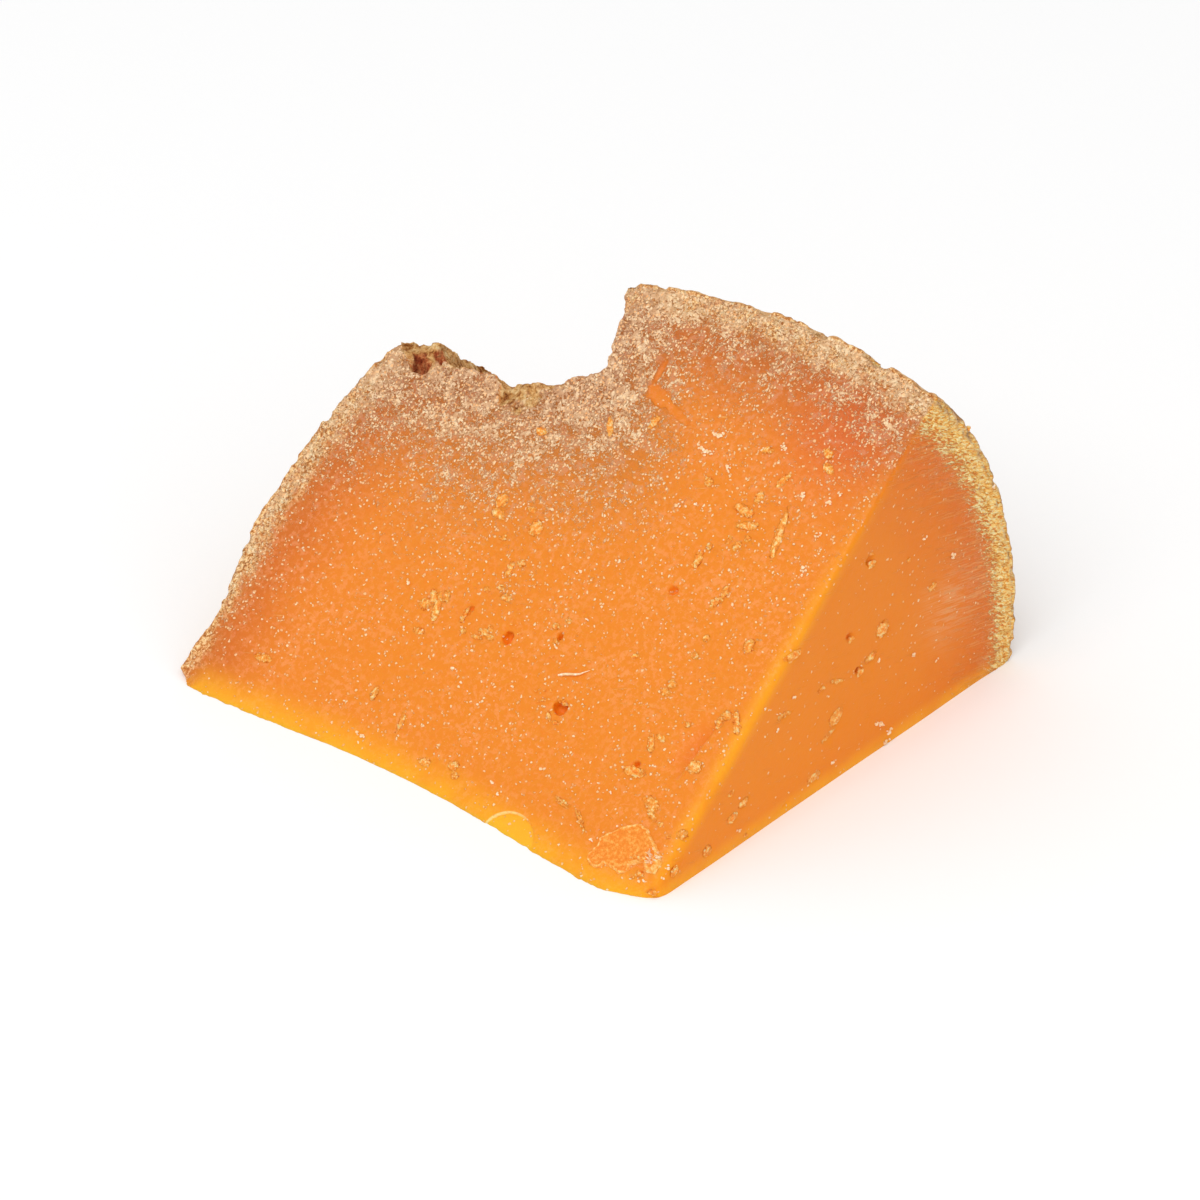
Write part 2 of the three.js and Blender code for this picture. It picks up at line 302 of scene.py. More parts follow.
# Torn chips of the leaning cut: x, rise, half length, half width, height and turn.
LEANING_CHIPS = (
    (-32.3, 24.1, 0.95, 0.35, 0.35, 0.05),
    (-33.3, 21.1, 0.90, 0.25, 0.30, -0.80),
    (-31.6, 20.6, 0.70, 0.20, 0.25, 0.10),
    (-40.2, 34.4, 0.60, 0.50, 0.35, 0.00),
    (-38.9, 32.2, 0.30, 0.45, 0.30, 0.30),
    (-50.8, 29.6, 0.50, 0.35, 0.35, -0.60),
    (-51.6, 28.7, 0.90, 0.50, 0.40, 0.20),
    (-50.2, 28.4, 0.60, 0.40, 0.30, 0.00),
    (-52.3, 27.5, 0.90, 0.30, 0.35, 0.10),
    (-56.4, 29.8, 0.30, 1.30, 0.35, 0.00),
    (-55.2, 27.4, 0.45, 0.40, 0.30, 0.00),
    (-61.7, 28.8, 2.10, 0.60, 0.40, -1.30),
    (-64.0, 28.8, 0.90, 0.90, 0.40, 0.00),
    (-63.2, 30.3, 1.10, 0.60, 0.40, -0.90),
    (-61.1, 31.3, 1.00, 0.50, 0.35, -1.00),
    (-62.6, 24.4, 1.00, 0.50, 0.40, 0.10),
    (-53.0, 39.4, 0.55, 1.20, 0.40, 0.10),
    (-14.0, 18.9, 1.85, 0.75, 0.45, 0.08),
    (-12.7, 19.2, 0.60, 0.50, 0.40, 0.20),
    (-13.9, 24.1, 1.40, 0.55, 0.50, -1.05),
    (-12.8, 25.5, 0.80, 0.40, 0.35, -0.30),
    (-4.8, 23.6, 1.10, 1.00, 0.40, 0.20),
    (-23.2, 10.0, 1.50, 0.20, 0.22, -0.12),
    (-23.0, 9.5, 1.20, 0.14, 0.18, -0.15),
    (-18.3, 8.3, 1.90, 0.20, 0.28, -0.60),
    (-18.7, 9.0, 1.10, 0.12, 0.20, -0.62),
    (-8.3, 15.6, 1.40, 0.90, 0.16, -0.30),
    (-7.3, 14.0, 1.20, 0.40, 0.18, -0.50),
    (-2.7, 12.1, 0.35, 0.30, 0.35, 0.30),
    (-0.9, 13.4, 0.60, 0.75, 0.35, 0.00),
    (-3.9, 4.9, 0.60, 0.50, 0.50, 0.00),
    (-4.9, 4.1, 0.35, 0.30, 0.30, 0.00),
    (-5.4, 7.0, 1.50, 0.32, 1.20, 0.20),
    (-1.2, 3.4, 0.60, 0.40, 0.30, 0.50),
    (-15.9, 50.4, 0.50, 1.25, 0.35, 0.10),
    (-16.6, 48.3, 0.50, 0.85, 0.35, -0.20),
    (-7.1, 44.4, 0.75, 1.05, 0.40, 0.10),
    (-14.6, 42.8, 0.55, 0.50, 0.25, 0.00),
    (-14.9, 39.5, 0.60, 0.50, 0.25, 0.00),
    (-16.0, 33.9, 0.70, 0.55, 0.40, 0.10),
    (-16.3, 32.3, 0.75, 0.50, 0.40, 0.00),
    (-24.5, 35.4, 0.50, 0.30, 0.25, 0.50),
    (-2.1, 32.7, 1.80, 0.55, 0.45, -0.97),
    (-4.3, 33.1, 0.70, 0.70, 0.45, 0.20),
    (-5.0, 31.5, 0.50, 0.90, 0.40, 0.30),
    (-12.0, 77.3, 0.90, 0.60, 0.45, -0.50),
    (-10.5, 75.1, 1.10, 0.55, 0.35, -0.30),
    (-16.8, 70.4, 1.50, 0.50, 0.45, 1.15),
    (-19.1, 66.5, 0.60, 0.90, 0.40, 0.00),
    (-20.3, 63.6, 1.90, 0.70, 0.45, -0.08),
    (-18.3, 61.6, 1.70, 0.65, 0.45, 0.42),
    (-17.1, 59.7, 0.48, 0.45, 0.40, 0.00),
    (-18.2, 58.0, 0.50, 0.80, 0.35, -0.30),
    (-20.0, 58.3, 0.40, 0.60, 0.25, 0.00),
    (-22.6, 56.1, 0.50, 0.45, 0.30, 0.00),
    (-23.2, 53.5, 0.60, 1.40, 0.35, 0.10),
    (-12.5, 62.4, 4.00, 0.60, 0.28, -1.35),
    (-22.0, 73.8, 1.00, 0.45, 0.40, 0.20),
    (-28.6, 65.4, 0.60, 0.70, 0.25, 0.00),
    (-50.0, 67.0, 1.90, 0.50, 0.40, -1.00),
    (-43.1, 70.5, 0.50, 1.20, 0.35, -0.20),
    (-61.0, 61.7, 1.00, 0.70, 0.40, 0.10),
    (-60.9, 48.9, 1.00, 1.10, 0.40, 0.30),
    (-60.2, 46.7, 1.20, 0.70, 0.40, -0.20),
    (-54.9, 49.6, 0.60, 0.40, 0.30, -0.30),
    (-52.6, 47.2, 1.10, 1.20, 0.45, 0.40),
    (-44.9, 7.6, 0.90, 0.70, 0.40, 0.30),
    (-43.8, 6.3, 0.70, 0.50, 0.35, -0.20),
    (-50.1, 6.2, 1.00, 0.60, 0.30, 0.10),
    (-57.6, 10.2, 0.40, 1.50, 0.25, 0.10),
    (-64.5, 12.4, 0.50, 1.10, 0.25, 0.00),
    (-51.6, 41.1, 0.70, 0.50, 0.30, 0.00),
    (-57.0, 43.6, 0.50, 0.40, 0.30, 0.00),
    (-51.0, 35.1, 1.00, 0.50, 0.25, 0.10),
    (-52.9, 36.2, 0.50, 0.40, 0.25, 0.00),
    (-55.0, 35.0, 0.50, 0.40, 0.25, 0.00),
    (-38.5, 36.0, 0.50, 0.40, 0.20, 0.00),
    (-85.8, 9.6, 1.50, 0.60, 0.25, 0.20),
    (-9.8, 29.1, 0.40, 0.40, 0.30, 0.00),
    (-5.1, 13.4, 0.40, 0.30, 0.30, 0.00),
)

# Torn chips of the cross cut: y, z, half length, half width, height and turn.
CROSS_CHIPS = (
    (36.1, 28.9, 1.40, 0.70, 0.50, 0.10),
    (55.2, 36.4, 0.90, 0.55, 0.45, -0.30),
    (55.0, 38.2, 0.50, 0.25, 0.25, -0.30),
    (64.5, 32.4, 0.35, 0.30, 0.35, 0.00),
    (70.9, 24.3, 0.85, 0.60, 0.40, 0.05),
    (50.4, 24.6, 0.65, 0.30, 0.40, 0.20),
    (58.3, 22.6, 1.40, 1.30, 0.40, 0.00),
    (55.4, 18.8, 1.40, 0.60, 0.40, 0.15),
    (52.9, 17.3, 0.75, 0.60, 0.40, 0.30),
    (47.0, 18.6, 1.60, 0.30, 0.25, -0.40),
    (46.9, 11.8, 1.50, 1.20, 0.40, 0.50),
    (45.0, 9.3, 1.50, 0.35, 0.25, 0.25),
    (24.2, 7.5, 1.10, 0.60, 0.40, 0.20),
    (21.5, 6.1, 1.20, 0.70, 0.40, 0.10),
    (21.2, 10.8, 0.70, 0.30, 0.25, 0.20),
    (15.4, 3.0, 0.90, 0.90, 0.20, -0.50),
    (34.0, 18.8, 1.60, 0.40, 0.20, -0.10),
    (41.7, 3.1, 1.50, 0.70, 0.20, 0.00),
    (7.7, 3.3, 0.90, 0.60, 0.30, 0.80),
    (43.2, 19.0, 0.80, 0.30, 0.30, 0.10),
    (24.8, 1.0, 0.50, 0.30, 0.25, 0.00),
    (79.4, 49.3, 0.60, 0.40, 0.40, 0.00),
)

# White crystals and crumbs of the leaning cut, measured as the chips are.
LEANING_CRYSTALS = (
    (-9.0, 23.0, 0.30, 0.35, 0.35, 0.00),
    (-38.4, 31.5, 0.50, 0.20, 0.30, -0.20),
    (-62.0, 24.6, 0.35, 0.40, 0.45, 0.00),
    (-3.4, 8.7, 0.75, 0.60, 2.20, 0.00),
    (-2.7, 7.5, 0.60, 0.60, 2.20, 0.00),
    (-2.3, 8.4, 0.50, 0.50, 2.00, 0.00),
    (-0.6, 7.8, 0.55, 0.45, 0.40, 0.20),
    (-0.6, 5.8, 0.55, 0.35, 0.30, -0.40),
    (-3.5, 4.1, 0.30, 0.30, 0.30, 0.00),
    (-2.7, 4.3, 0.30, 0.25, 0.30, 0.00),
    (-18.5, 15.0, 0.40, 0.20, 0.25, 0.00),
    (-15.5, 14.3, 0.45, 0.25, 0.25, -0.20),
    (-24.5, 12.6, 0.28, 0.30, 0.25, 0.00),
    (-34.8, 6.3, 0.30, 0.35, 0.25, 0.00),
    (-29.5, 13.0, 0.40, 0.30, 0.20, 0.50),
    (-14.7, 6.5, 0.30, 0.25, 0.25, 0.00),
    (-11.7, 10.2, 0.25, 0.25, 0.25, 0.00),
    (-42.0, 22.6, 0.30, 0.35, 0.30, 0.00),
    (-53.3, 21.4, 0.40, 0.30, 0.25, 0.00),
    (-13.5, 49.3, 0.28, 0.35, 0.30, 0.00),
    (-7.4, 69.9, 0.60, 0.45, 0.35, 0.20),
    (-12.4, 69.7, 0.50, 0.50, 0.30, 0.00),
    (-19.7, 75.2, 0.90, 0.40, 0.35, 0.20),
    (-31.3, 73.0, 1.10, 0.60, 0.30, 0.20),
    (-33.2, 70.1, 0.60, 0.50, 0.30, 0.00),
    (-32.0, 69.4, 0.70, 0.50, 0.30, 0.30),
    (-31.0, 69.9, 0.50, 0.40, 0.30, 0.00),
    (-26.6, 68.6, 0.70, 0.40, 0.30, -0.20),
    (-28.7, 61.2, 0.40, 0.45, 0.30, 0.00),
    (-31.2, 60.2, 0.70, 0.35, 0.30, 1.00),
    (-5.3, 58.7, 0.50, 0.80, 0.25, 0.00),
    (-6.2, 64.9, 0.50, 0.45, 0.25, 0.00),
    (-6.4, 72.0, 0.50, 0.30, 0.25, 0.30),
    (-68.7, 30.7, 0.40, 0.35, 0.25, 0.00),
    (-65.4, 23.6, 0.40, 0.30, 0.25, 0.00),
    (-63.0, 5.6, 1.00, 0.30, 0.30, 0.00),
    (-36.7, 7.7, 0.35, 0.30, 0.30, 0.00),
    (-52.0, 65.9, 0.90, 0.20, 0.25, 0.10),
    (-43.5, 55.5, 0.40, 0.30, 0.25, 0.00),
    (-79.4, 36.4, 0.40, 0.30, 0.25, 0.00),
    (-35.6, 37.4, 0.20, 0.20, 0.20, 0.00),
    (-41.2, 43.9, 0.20, 0.20, 0.20, 0.00),
    (-51.5, 50.8, 0.20, 0.20, 0.20, 0.00),
)

# White crystals of the cross cut.
CROSS_CRYSTALS = (
    (68.6, 34.5, 0.60, 0.35, 0.35, 0.30),
    (75.7, 27.8, 0.65, 0.45, 0.45, -0.30),
    (57.9, 4.8, 1.30, 0.55, 0.60, -0.50),
    (60.4, 2.3, 0.65, 0.50, 0.50, 0.00),
    (60.0, 0.5, 0.80, 0.30, 0.40, 0.00),
    (57.2, 17.2, 0.30, 0.28, 0.30, 0.00),
    (66.3, 13.7, 0.55, 0.30, 0.30, 0.30),
    (32.5, 19.9, 0.40, 0.25, 0.25, -0.40),
    (36.4, 21.2, 0.45, 0.35, 0.30, -0.60),
    (23.0, 3.0, 0.50, 0.28, 0.30, -0.30),
    (23.1, 9.0, 0.30, 0.25, 0.30, 0.00),
    (46.3, 3.8, 0.30, 0.30, 0.30, 0.00),
    (72.3, 9.8, 0.35, 0.25, 0.25, 0.00),
    (85.5, 35.9, 0.50, 0.30, 0.30, 0.00),
    (32.3, 16.9, 0.20, 0.20, 0.20, 0.00),
    (29.2, 22.6, 0.20, 0.20, 0.20, 0.00),
)

# Fine white specks: how many are tried, and how far they keep from the rind and from the bites.
SPECK_TRIES = 260
SPECKS_OFF_RIND = 6 * MM
SPECKS_OFF_BITES = 2 * MM

# Shavings that the knife dragged up: x, rise and half length; all lie along one direction.
SHAVINGS = (
    (-40.5, 39.4, 0.95),
    (-43.0, 36.2, 0.90),
    (-40.6, 36.0, 0.70),
    (-37.4, 38.1, 0.50),
    (-47.1, 32.0, 0.80),
    (-45.4, 30.9, 0.80),
    (-38.4, 29.5, 0.70),
    (-44.2, 27.2, 0.65),
    (-35.6, 24.6, 0.90),
    (-35.1, 23.2, 1.25),
    (-37.7, 23.8, 0.65),
    (-36.4, 22.4, 0.80),
    (-47.3, 38.9, 1.10),
    (-24.6, 71.3, 1.10),
)
SHAVING_TURN = 0.45

# Outline of the lifted flake by the front corner: x and rise.
FLAKE_OUTLINE = (
    (-13.6, 3.5), (-13.4, 5.2), (-12.9, 6.0), (-13.1, 7.5), (-12.0, 8.8), (-10.0, 10.7),
    (-8.2, 11.8), (-6.5, 11.5), (-4.0, 10.0), (-2.7, 8.7), (-1.9, 7.8), (-2.2, 6.3),
    (-3.2, 6.2), (-4.3, 7.2), (-5.6, 6.3), (-6.3, 5.8), (-6.0, 4.6), (-6.9, 3.7),
    (-9.1, 4.1), (-10.5, 4.0), (-10.7, 3.2), (-12.0, 2.9),
)

FLAKE_MIDDLE = (-7.8, 7.4, 0.0)
FLAKE_REACH = (6.6, 5.2, 0.0)
FLAKE_THICKNESS = 1.3 * MM
FLAKE_FINENESS = 0.14 * MM

# Lifted paste: the flake's dark, middle and pale grain, the chips' dark grain, and the palest rims, a painted
# highlight along broken edges.
FLAKE_SHADES = ((236, 130, 28), (242, 140, 36), (255, 178, 84))
CHIP_DARK = (240, 128, 34)
BROKEN_RIM_HIGHLIGHT = (255, 216, 146)

# The pale fibre on the leaning cut: x, rise, height over the cheese and radius.
FIBRE = (
    (-35.3, 27.55, 0.10, 0.16),
    (-34.4, 28.00, 0.30, 0.22),
    (-33.3, 28.40, 0.40, 0.21),
    (-32.2, 28.80, 0.38, 0.19),
    (-31.6, 29.15, 0.34, 0.13),
    (-31.1, 29.75, 0.28, 0.08),
    (-30.5, 30.30, 0.10, 0.05),
)

# Patches of bloom that lie away from the rind: x, rise, radius and strength.
BLOOM_PATCHES = (
    (-50, 37, 7, 0.55),
    (-40, 46, 12, 0.42),
    (-66, 52, 9, 0.35),
    (-36.7, 61, 4, 0.7),
    (-43, 63, 3, 0.7),
    (-65, 57.5, 3, 0.9),
    (-20, 45, 8, 0.28),
    (-40, 14, 9, 0.30),
    (-63, 17, 7, 0.25),
    (-69, 52.8, 2.2, 1.0),
    (-50.2, 54.5, 1.8, 1.0),
)

# A redder place high on the leaning cut, x, rise and radius, and pale wisps on the cross cut, y, z
# and two radii.
BLUSH = (-11 * MM, 82 * MM, 10 * MM)
CROSS_HAZE = (77 * MM, 19 * MM, 7 * MM, 6 * MM)

# Bare, smooth places where the knife gouged the paste, measured as the chips are.
GOUGES = (
    (-45.2, 74.7, 2.2, 1.3, 0.45, -0.20),
    (-41.2, 73.6, 3.8, 0.7, 0.45, -0.30),
    (-47.0, 78.4, 0.5, 2.2, 0.25, 0.00),
)


def smooth_step(value, low, high):
    """0 at low, 1 at high, and smooth between; low may be the larger."""
    share = np.clip((value - low) / (high - low), 0.0, 1.0)
    return share * share * (3 - 2 * share)


def noise_field(points, width, seed, octaves=1):
    """Smooth noise at each point, from about -1 to 1, with features of that width."""
    scaled = (points / width + seed).tolist()
    if octaves == 1:
        values = (noise.noise(p, noise_basis="PERLIN_NEW") for p in scaled)
    else:
        values = (noise.fractal(p, 0.8, 2.1, octaves, noise_basis="PERLIN_NEW") for p in scaled)
    return np.fromiter(values, float, len(scaled))


def cell_field(points, width, seed):
    """Distance from each point to the nearest of scattered points, as a share of their spacing."""
    scaled = (points / width + seed).tolist()
    return np.fromiter((noise.voronoi(p)[0][0] for p in scaled), float, len(scaled))


class Cuts:
    """The ball and the three cuts: where any point lies among them."""

    def __init__(self, shape):
        self.shape = shape
        self.cos = math.cos(shape.wedge_angle)
        self.sin = math.sin(shape.wedge_angle)
        self.middle = CORNER - np.array((shape.cross_cut, 0, 0))
        self.lean = Matrix.Translation(Vector(CORNER)) @ Matrix.Rotation(shape.wedge_angle, 4, "X")
        self.cross = Matrix.Translation(Vector(CORNER)) @ Matrix(
            ((0, 0, 1, 0), (1, 0, 0, 0), (0, 1, 0, 0), (0, 0, 0, 1))
        )

    def leaning(self, points):
        """x along the axis, the rise up the leaning cut and the depth below it."""
        x, y, z = (points - CORNER).T
        return x, y * self.cos + z * self.sin, y * self.sin - z * self.cos

    def reach(self, directions):
        """From the ball's middle to its smooth surface, along each unit direction."""
        axial = np.abs(directions[:, 0]) / self.shape.half_length
        radial = np.hypot(directions[:, 1], directions[:, 2]) / self.shape.ball_radius
        inside = np.zeros(len(directions))
        outside = np.full(len(directions), 2 * self.shape.ball_radius)
        for _ in range(HALVINGS):
            middle = (inside + outside) / 2
            within = (middle * axial) ** AXIAL_POWER + (middle * radial) ** RADIAL_POWER < 1
            inside = np.where(within, middle, inside)
            outside = np.where(within, outside, middle)
        return inside

    def outward(self, points):
        """The direction square to the ball's surface beyond each point."""
        x, y, z = (points - self.middle).T
        radial = np.hypot(y, z) + 1e-9
        along = AXIAL_POWER * np.abs(x / self.shape.half_length) ** (AXIAL_POWER - 1)
        along *= np.sign(x) / self.shape.half_length
        across = RADIAL_POWER * (radial / self.shape.ball_radius) ** (RADIAL_POWER - 1)
        across /= self.shape.ball_radius
        normals = np.stack((along, across * y / radial, across * z / radial), axis=1)
        return normals / (np.linalg.norm(normals, axis=1, keepdims=True) + 1e-12)

    def swell(self, points):
        """The rind's belly, midway between the two long cuts."""
        _, y, z = (points - self.middle).T
        arc = np.sin(np.pi * np.arctan2(z, y) / self.shape.wedge_angle)
        return self.shape.belly * np.maximum(0, arc)

    def rind_depth(self, points):
        """How far each point lies behind the rind."""
        offset = points - self.middle
        distance = np.linalg.norm(offset, axis=1) + 1e-9
        directions = offset / distance[:, None]
        gap = self.reach(directions) + self.swell(points) - distance
        facing = np.sum(directions * self.outward(points), axis=1)
        return gap * np.clip(facing, 0.8, 1.0)

    def bite_gap(self, points):
        """Distance from each point to the nearest bite, below 0 inside it."""
        x, rise, depth = self.leaning(points)
        gaps = []
        for at, radii, turn, power in BITES:
            dx, dy, dz = x - at[0] * MM, rise - at[1] * MM, -depth - at[2] * MM
            u = dx * math.cos(turn) + dy * math.sin(turn)
            v = dy * math.cos(turn) - dx * math.sin(turn)
            level = sum(np.abs(d / (r * MM)) ** power for d, r in zip((u, v, dz), radii))
            gaps.append((level ** (1 / power) - 1) * radii[1] * MM)
        return np.min(gaps, axis=0)

    def dish(self, x, rise):
        """How far the leaning cut lies under its plane."""
        along = np.clip(np.abs(x - DISH_MIDDLE) / DISH_HALF_LENGTH, 0, 1)
        fade = np.exp(-((rise / DISH_FADE) ** 2))
        return self.shape.dish_depth * np.cos(along * np.pi / 2) ** 2 * fade


# ------------------------------------------------------------------------- modelling helpers

def deselect_all():
    """Leaves nothing selected, so that the next operator acts on one thing."""
    if bpy.context.object and bpy.context.object.mode != "OBJECT":
        bpy.ops.object.mode_set(mode="OBJECT")
    bpy.ops.object.select_all(action="DESELECT")


def activate(piece):
    """Selects one piece alone."""
    deselect_all()
    piece.select_set(True)
    bpy.context.view_layer.objects.active = piece


def apply_modifier(piece, kind, **settings):
    """Adds a modifier and applies it."""
    activate(piece)
    modifier = piece.modifiers.new(kind.lower(), kind)
    for name, value in settings.items():
        setattr(modifier, name, value)
    bpy.ops.object.modifier_apply(modifier=modifier.name)


def points_of(piece):
    """The mesh's points as an array."""
    points = np.empty(len(piece.data.vertices) * 3)
    piece.data.vertices.foreach_get("co", points)
    return points.reshape(-1, 3)


def normals_of(piece):
    """The mesh's point normals as an array."""
    normals = np.empty(len(piece.data.vertices) * 3)
    piece.data.vertex_normals.foreach_get("vector", normals)
    return normals.reshape(-1, 3)


def move_points(piece, points):
    """Puts the mesh's points at new places."""
    piece.data.vertices.foreach_set("co", points.ravel())
    piece.data.update()


def add_ico(name, divisions):
    """A unit ico sphere at the origin."""
    deselect_all()
    bpy.ops.mesh.primitive_ico_sphere_add(subdivisions=divisions, radius=1)
    bpy.context.object.name = name
    return bpy.context.object


def add_lump(name, at, radii, turn=0.0, power=2.0, divisions=3, roughness=0.2, grain=2.0, place=None):
    """A rough rounded lump; sizes are in millimetres, in the coordinates of the cut it lies on."""
    piece = add_ico(name, divisions)
    points = points_of(piece)
    level = np.sum(np.abs(points) ** power, axis=1) ** (-1 / power)
    points = points * level[:, None] * np.array(radii)
    rough = noise_field(points, grain, sum(at), octaves=2)
    points *= 1 + (roughness * rough / np.linalg.norm(points, axis=1))[:, None]
    turned = Matrix.Rotation(turn, 3, "Z")
    points = points @ np.array(turned).T + np.array(at)
    move_points(piece, points * MM)
    if place is not None:
        piece.data.transform(place)
    return piece


def finish_piece(piece, material, replaced=None):
    """Shades a piece, gives it its material and hangs it on the body."""
    activate(piece)
    bpy.ops.object.shade_smooth_by_angle(angle=SMOOTHING_ANGLE)
    piece.data.materials.clear()
    piece.data.materials.append(material)
    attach(piece, BODY)
    if replaced:
        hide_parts(replaced)


def store(piece, name, values):
    """Keeps one number for each point of the mesh, for the material to read."""
    layer = piece.data.attributes.new(name, "FLOAT", "POINT")
    layer.data.foreach_set("value", np.asarray(values, dtype=np.float32))


# ------------------------------------------------------------------------------- the wedge

def cut_from_ball(cuts):
    """The ball, cut three times, with the ridge between the steep cuts blunted."""
    wedge = add_ico(WEDGE, 7)
    directions = points_of(wedge)
    directions /= np.linalg.norm(directions, axis=1, keepdims=True)
    points = directions * cuts.reach(directions)[:, None] + cuts.middle
    points += cuts.outward(points) * cuts.swell(points)[:, None]
    move_points(wedge, points)
    activate(wedge)
    planes = (
        ((0, 0, -SPARE_BELOW), (0, 0, -1)),
        ((0, 0, 0), (0, -cuts.sin, cuts.cos)),
        ((0, 0, 0), (1, 0, 0)),
    )
    bpy.ops.object.mode_set(mode="EDIT")
    for at, normal in planes:
        bpy.ops.mesh.select_all(action="SELECT")
        bpy.ops.mesh.bisect(
            plane_co=Vector(at) + Vector(CORNER),
            plane_no=normal,
            use_fill=True,
            clear_outer=True,
            threshold=1e-7,
        )
    bpy.ops.object.mode_set(mode="OBJECT")
    blunt_ridge(wedge, cuts)
    return wedge


def soften_corner(wedge):
    """Rubs the broken front corner round."""
    near = np.linalg.norm(points_of(wedge) - CORNER, axis=1) < WORN_CORNER
    activate(wedge)
    for part in (*wedge.data.edges, *wedge.data.polygons):
        part.select = False
    for vertex in wedge.data.vertices:
        vertex.select = bool(near[vertex.index])
    bpy.ops.object.mode_set(mode="EDIT")
    bpy.ops.mesh.select_mode(type="VERT")
    bpy.ops.mesh.vertices_smooth(factor=0.5, repeat=60)
    bpy.ops.object.mode_set(mode="OBJECT")


def level_base(wedge):
    """Cuts the spare stuff off, which leaves a flat base with a crisp rim."""
    activate(wedge)
    bpy.ops.object.mode_set(mode="EDIT")
    bpy.ops.mesh.select_all(action="SELECT")
    bpy.ops.mesh.bisect(
        plane_co=(0, 0, 0),
        plane_no=(0, 0, -1),
        use_fill=True,
        clear_outer=True,
        threshold=1e-8,
    )
    bpy.ops.object.mode_set(mode="OBJECT")


def blunt_ridge(wedge, cuts):
    """Bevels the long edge between the leaning cut and the cross cut."""
    x, _, depth = cuts.leaning(points_of(wedge))
    on_ridge = (np.abs(x) < 1e-5) & (np.abs(depth) < 1e-5)
    for edge in wedge.data.edges:
        edge.select = bool(on_ridge[edge.vertices[0]] and on_ridge[edge.vertices[1]])
    for vertex in wedge.data.vertices:
        vertex.select = bool(on_ridge[vertex.index])
    for face in wedge.data.polygons:
        face.select = False
    bpy.ops.object.mode_set(mode="EDIT")
    bpy.ops.mesh.select_mode(type="EDGE")
    bpy.ops.mesh.bevel(offset=cuts.shape.ridge_width, segments=10, affect="EDGES")
    bpy.ops.object.mode_set(mode="OBJECT")


def carve(wedge, cuts):
    """Takes the bites, the eyes and the lost corners out of the wedge."""
    tools = []
    for number, (at, radii, turn, power) in enumerate(BITES):
        tools.append(add_lump(f"bite_{number}", at, radii, turn, power, 5, 0.8, 5.0, cuts.lean))
    eyes = [(eye, cuts.lean) for eye in LEANING_EYES] + [(eye, cuts.cross) for eye in CROSS_EYES]
    for number, ((across, up, half_length, half_width, depth, turn), place) in enumerate(eyes):
        sunk = cuts.dish(across * MM, up * MM) / MM if place is cuts.lean else 0.0
        at = (across, up, 0.1 - float(sunk))
        radii = (half_length, half_width, depth)
        tools.append(add_lump(f"eye_{number}", at, radii, turn, 2.0, 3, 0.45, 1.0, place))
    corner = Matrix.Translation(Vector(CORNER))
    tools.append(add_lump("front_loss", *FRONT_LOSS, 5, 0.9, 3.0, corner))
    tools.append(add_lump("pole_loss", *POLE_LOSS, 4, 0.6, 3.0, corner))
    for number, (at, radii, turn) in enumerate(HOLLOWS):
        tools.append(add_lump(f"hollow_{number}", at, radii, turn, 2.0, 4, 0.7, 1.5, cuts.lean))
    cutters = bpy.data.collections.new("cutters")
    bpy.context.scene.collection.children.link(cutters)
    for tool in tools:
        for held in tool.users_collection:
            held.objects.unlink(tool)
        cutters.objects.link(tool)
    apply_modifier(
        wedge,
        "BOOLEAN",
        operation="DIFFERENCE",
        operand_type="COLLECTION",
        collection=cutters,
        solver="MANIFOLD",
    )
    for tool in tools:
        bpy.data.objects.remove(tool)
    bpy.data.collections.remove(cutters)


def swell_rind(points, rind_depth, cuts):
    """Gives the rind lumps, pits and its dimple, which reach in far enough to show along the rims."""
    shape = cuts.shape
    behind = np.flatnonzero(rind_depth < RIND_RELIEF_REACH)
    near = points[behind]
    fade = smooth_step(rind_depth[behind], RIND_RELIEF_REACH, 1 * MM)
    lumps = shape.lump_height * noise_field(near, 17 * MM, 6.49) + 0.35 * MM
    lumps += 0.25 * MM * noise_field(near, 7 * MM, 4.1)
    off_axis = np.hypot(*(near - cuts.middle).T[1:]) / POLE_DIMPLE_WIDTH
    lumps -= POLE_DIMPLE_DEPTH * np.exp(-off_axis ** 2)
    lumps -= shape.pit_depth * np.maximum(0, noise_field(near, 5.5 * MM, 11.3) - 0.12)
    points[behind] += cuts.outward(points)[behind] * (lumps * fade)[:, None]


def dry_relief(points, rind_depth, on_rind, on_bite, crust):
    """The relief of the rind, of the broken walls and of a crust of the given thickness."""
    ragged = noise_field(points, 2.5 * MM, 8.2) * 0.9 * MM
    in_crust = smooth_step(rind_depth + ragged, crust + 0.5 * MM, crust - 0.8 * MM)
    in_crust = in_crust * (1 - on_rind) * (1 - on_bite)

    height = np.zeros(len(points))
    rough = np.flatnonzero((on_rind > 0) | (on_bite > 0))
    spots = points[rough]
    coarse = noise_field(spots, 2.6 * MM, 21.7, octaves=3)
    cells = cell_field(spots, 3.1 * MM, 5.5)
    rind_relief = 0.22 * MM * coarse - 0.75 * MM * smooth_step(cells, 0.42, 0.12)
    bite_relief = 0.42 * MM * coarse + 0.35 * MM * (cell_field(spots, 1.7 * MM, 9.5) - 0.4)
    height[rough] += rind_relief * on_rind[rough] + bite_relief * on_bite[rough]

    crusty = np.flatnonzero(in_crust > 0)
    spots = points[crusty]
    grains = 0.17 * MM * noise_field(spots, 0.9 * MM, 31.1, octaves=2)
    grains += 0.14 * MM * noise_field(spots, 2.4 * MM, 17.9)
    height[crusty] += grains * in_crust[crusty]
    return height


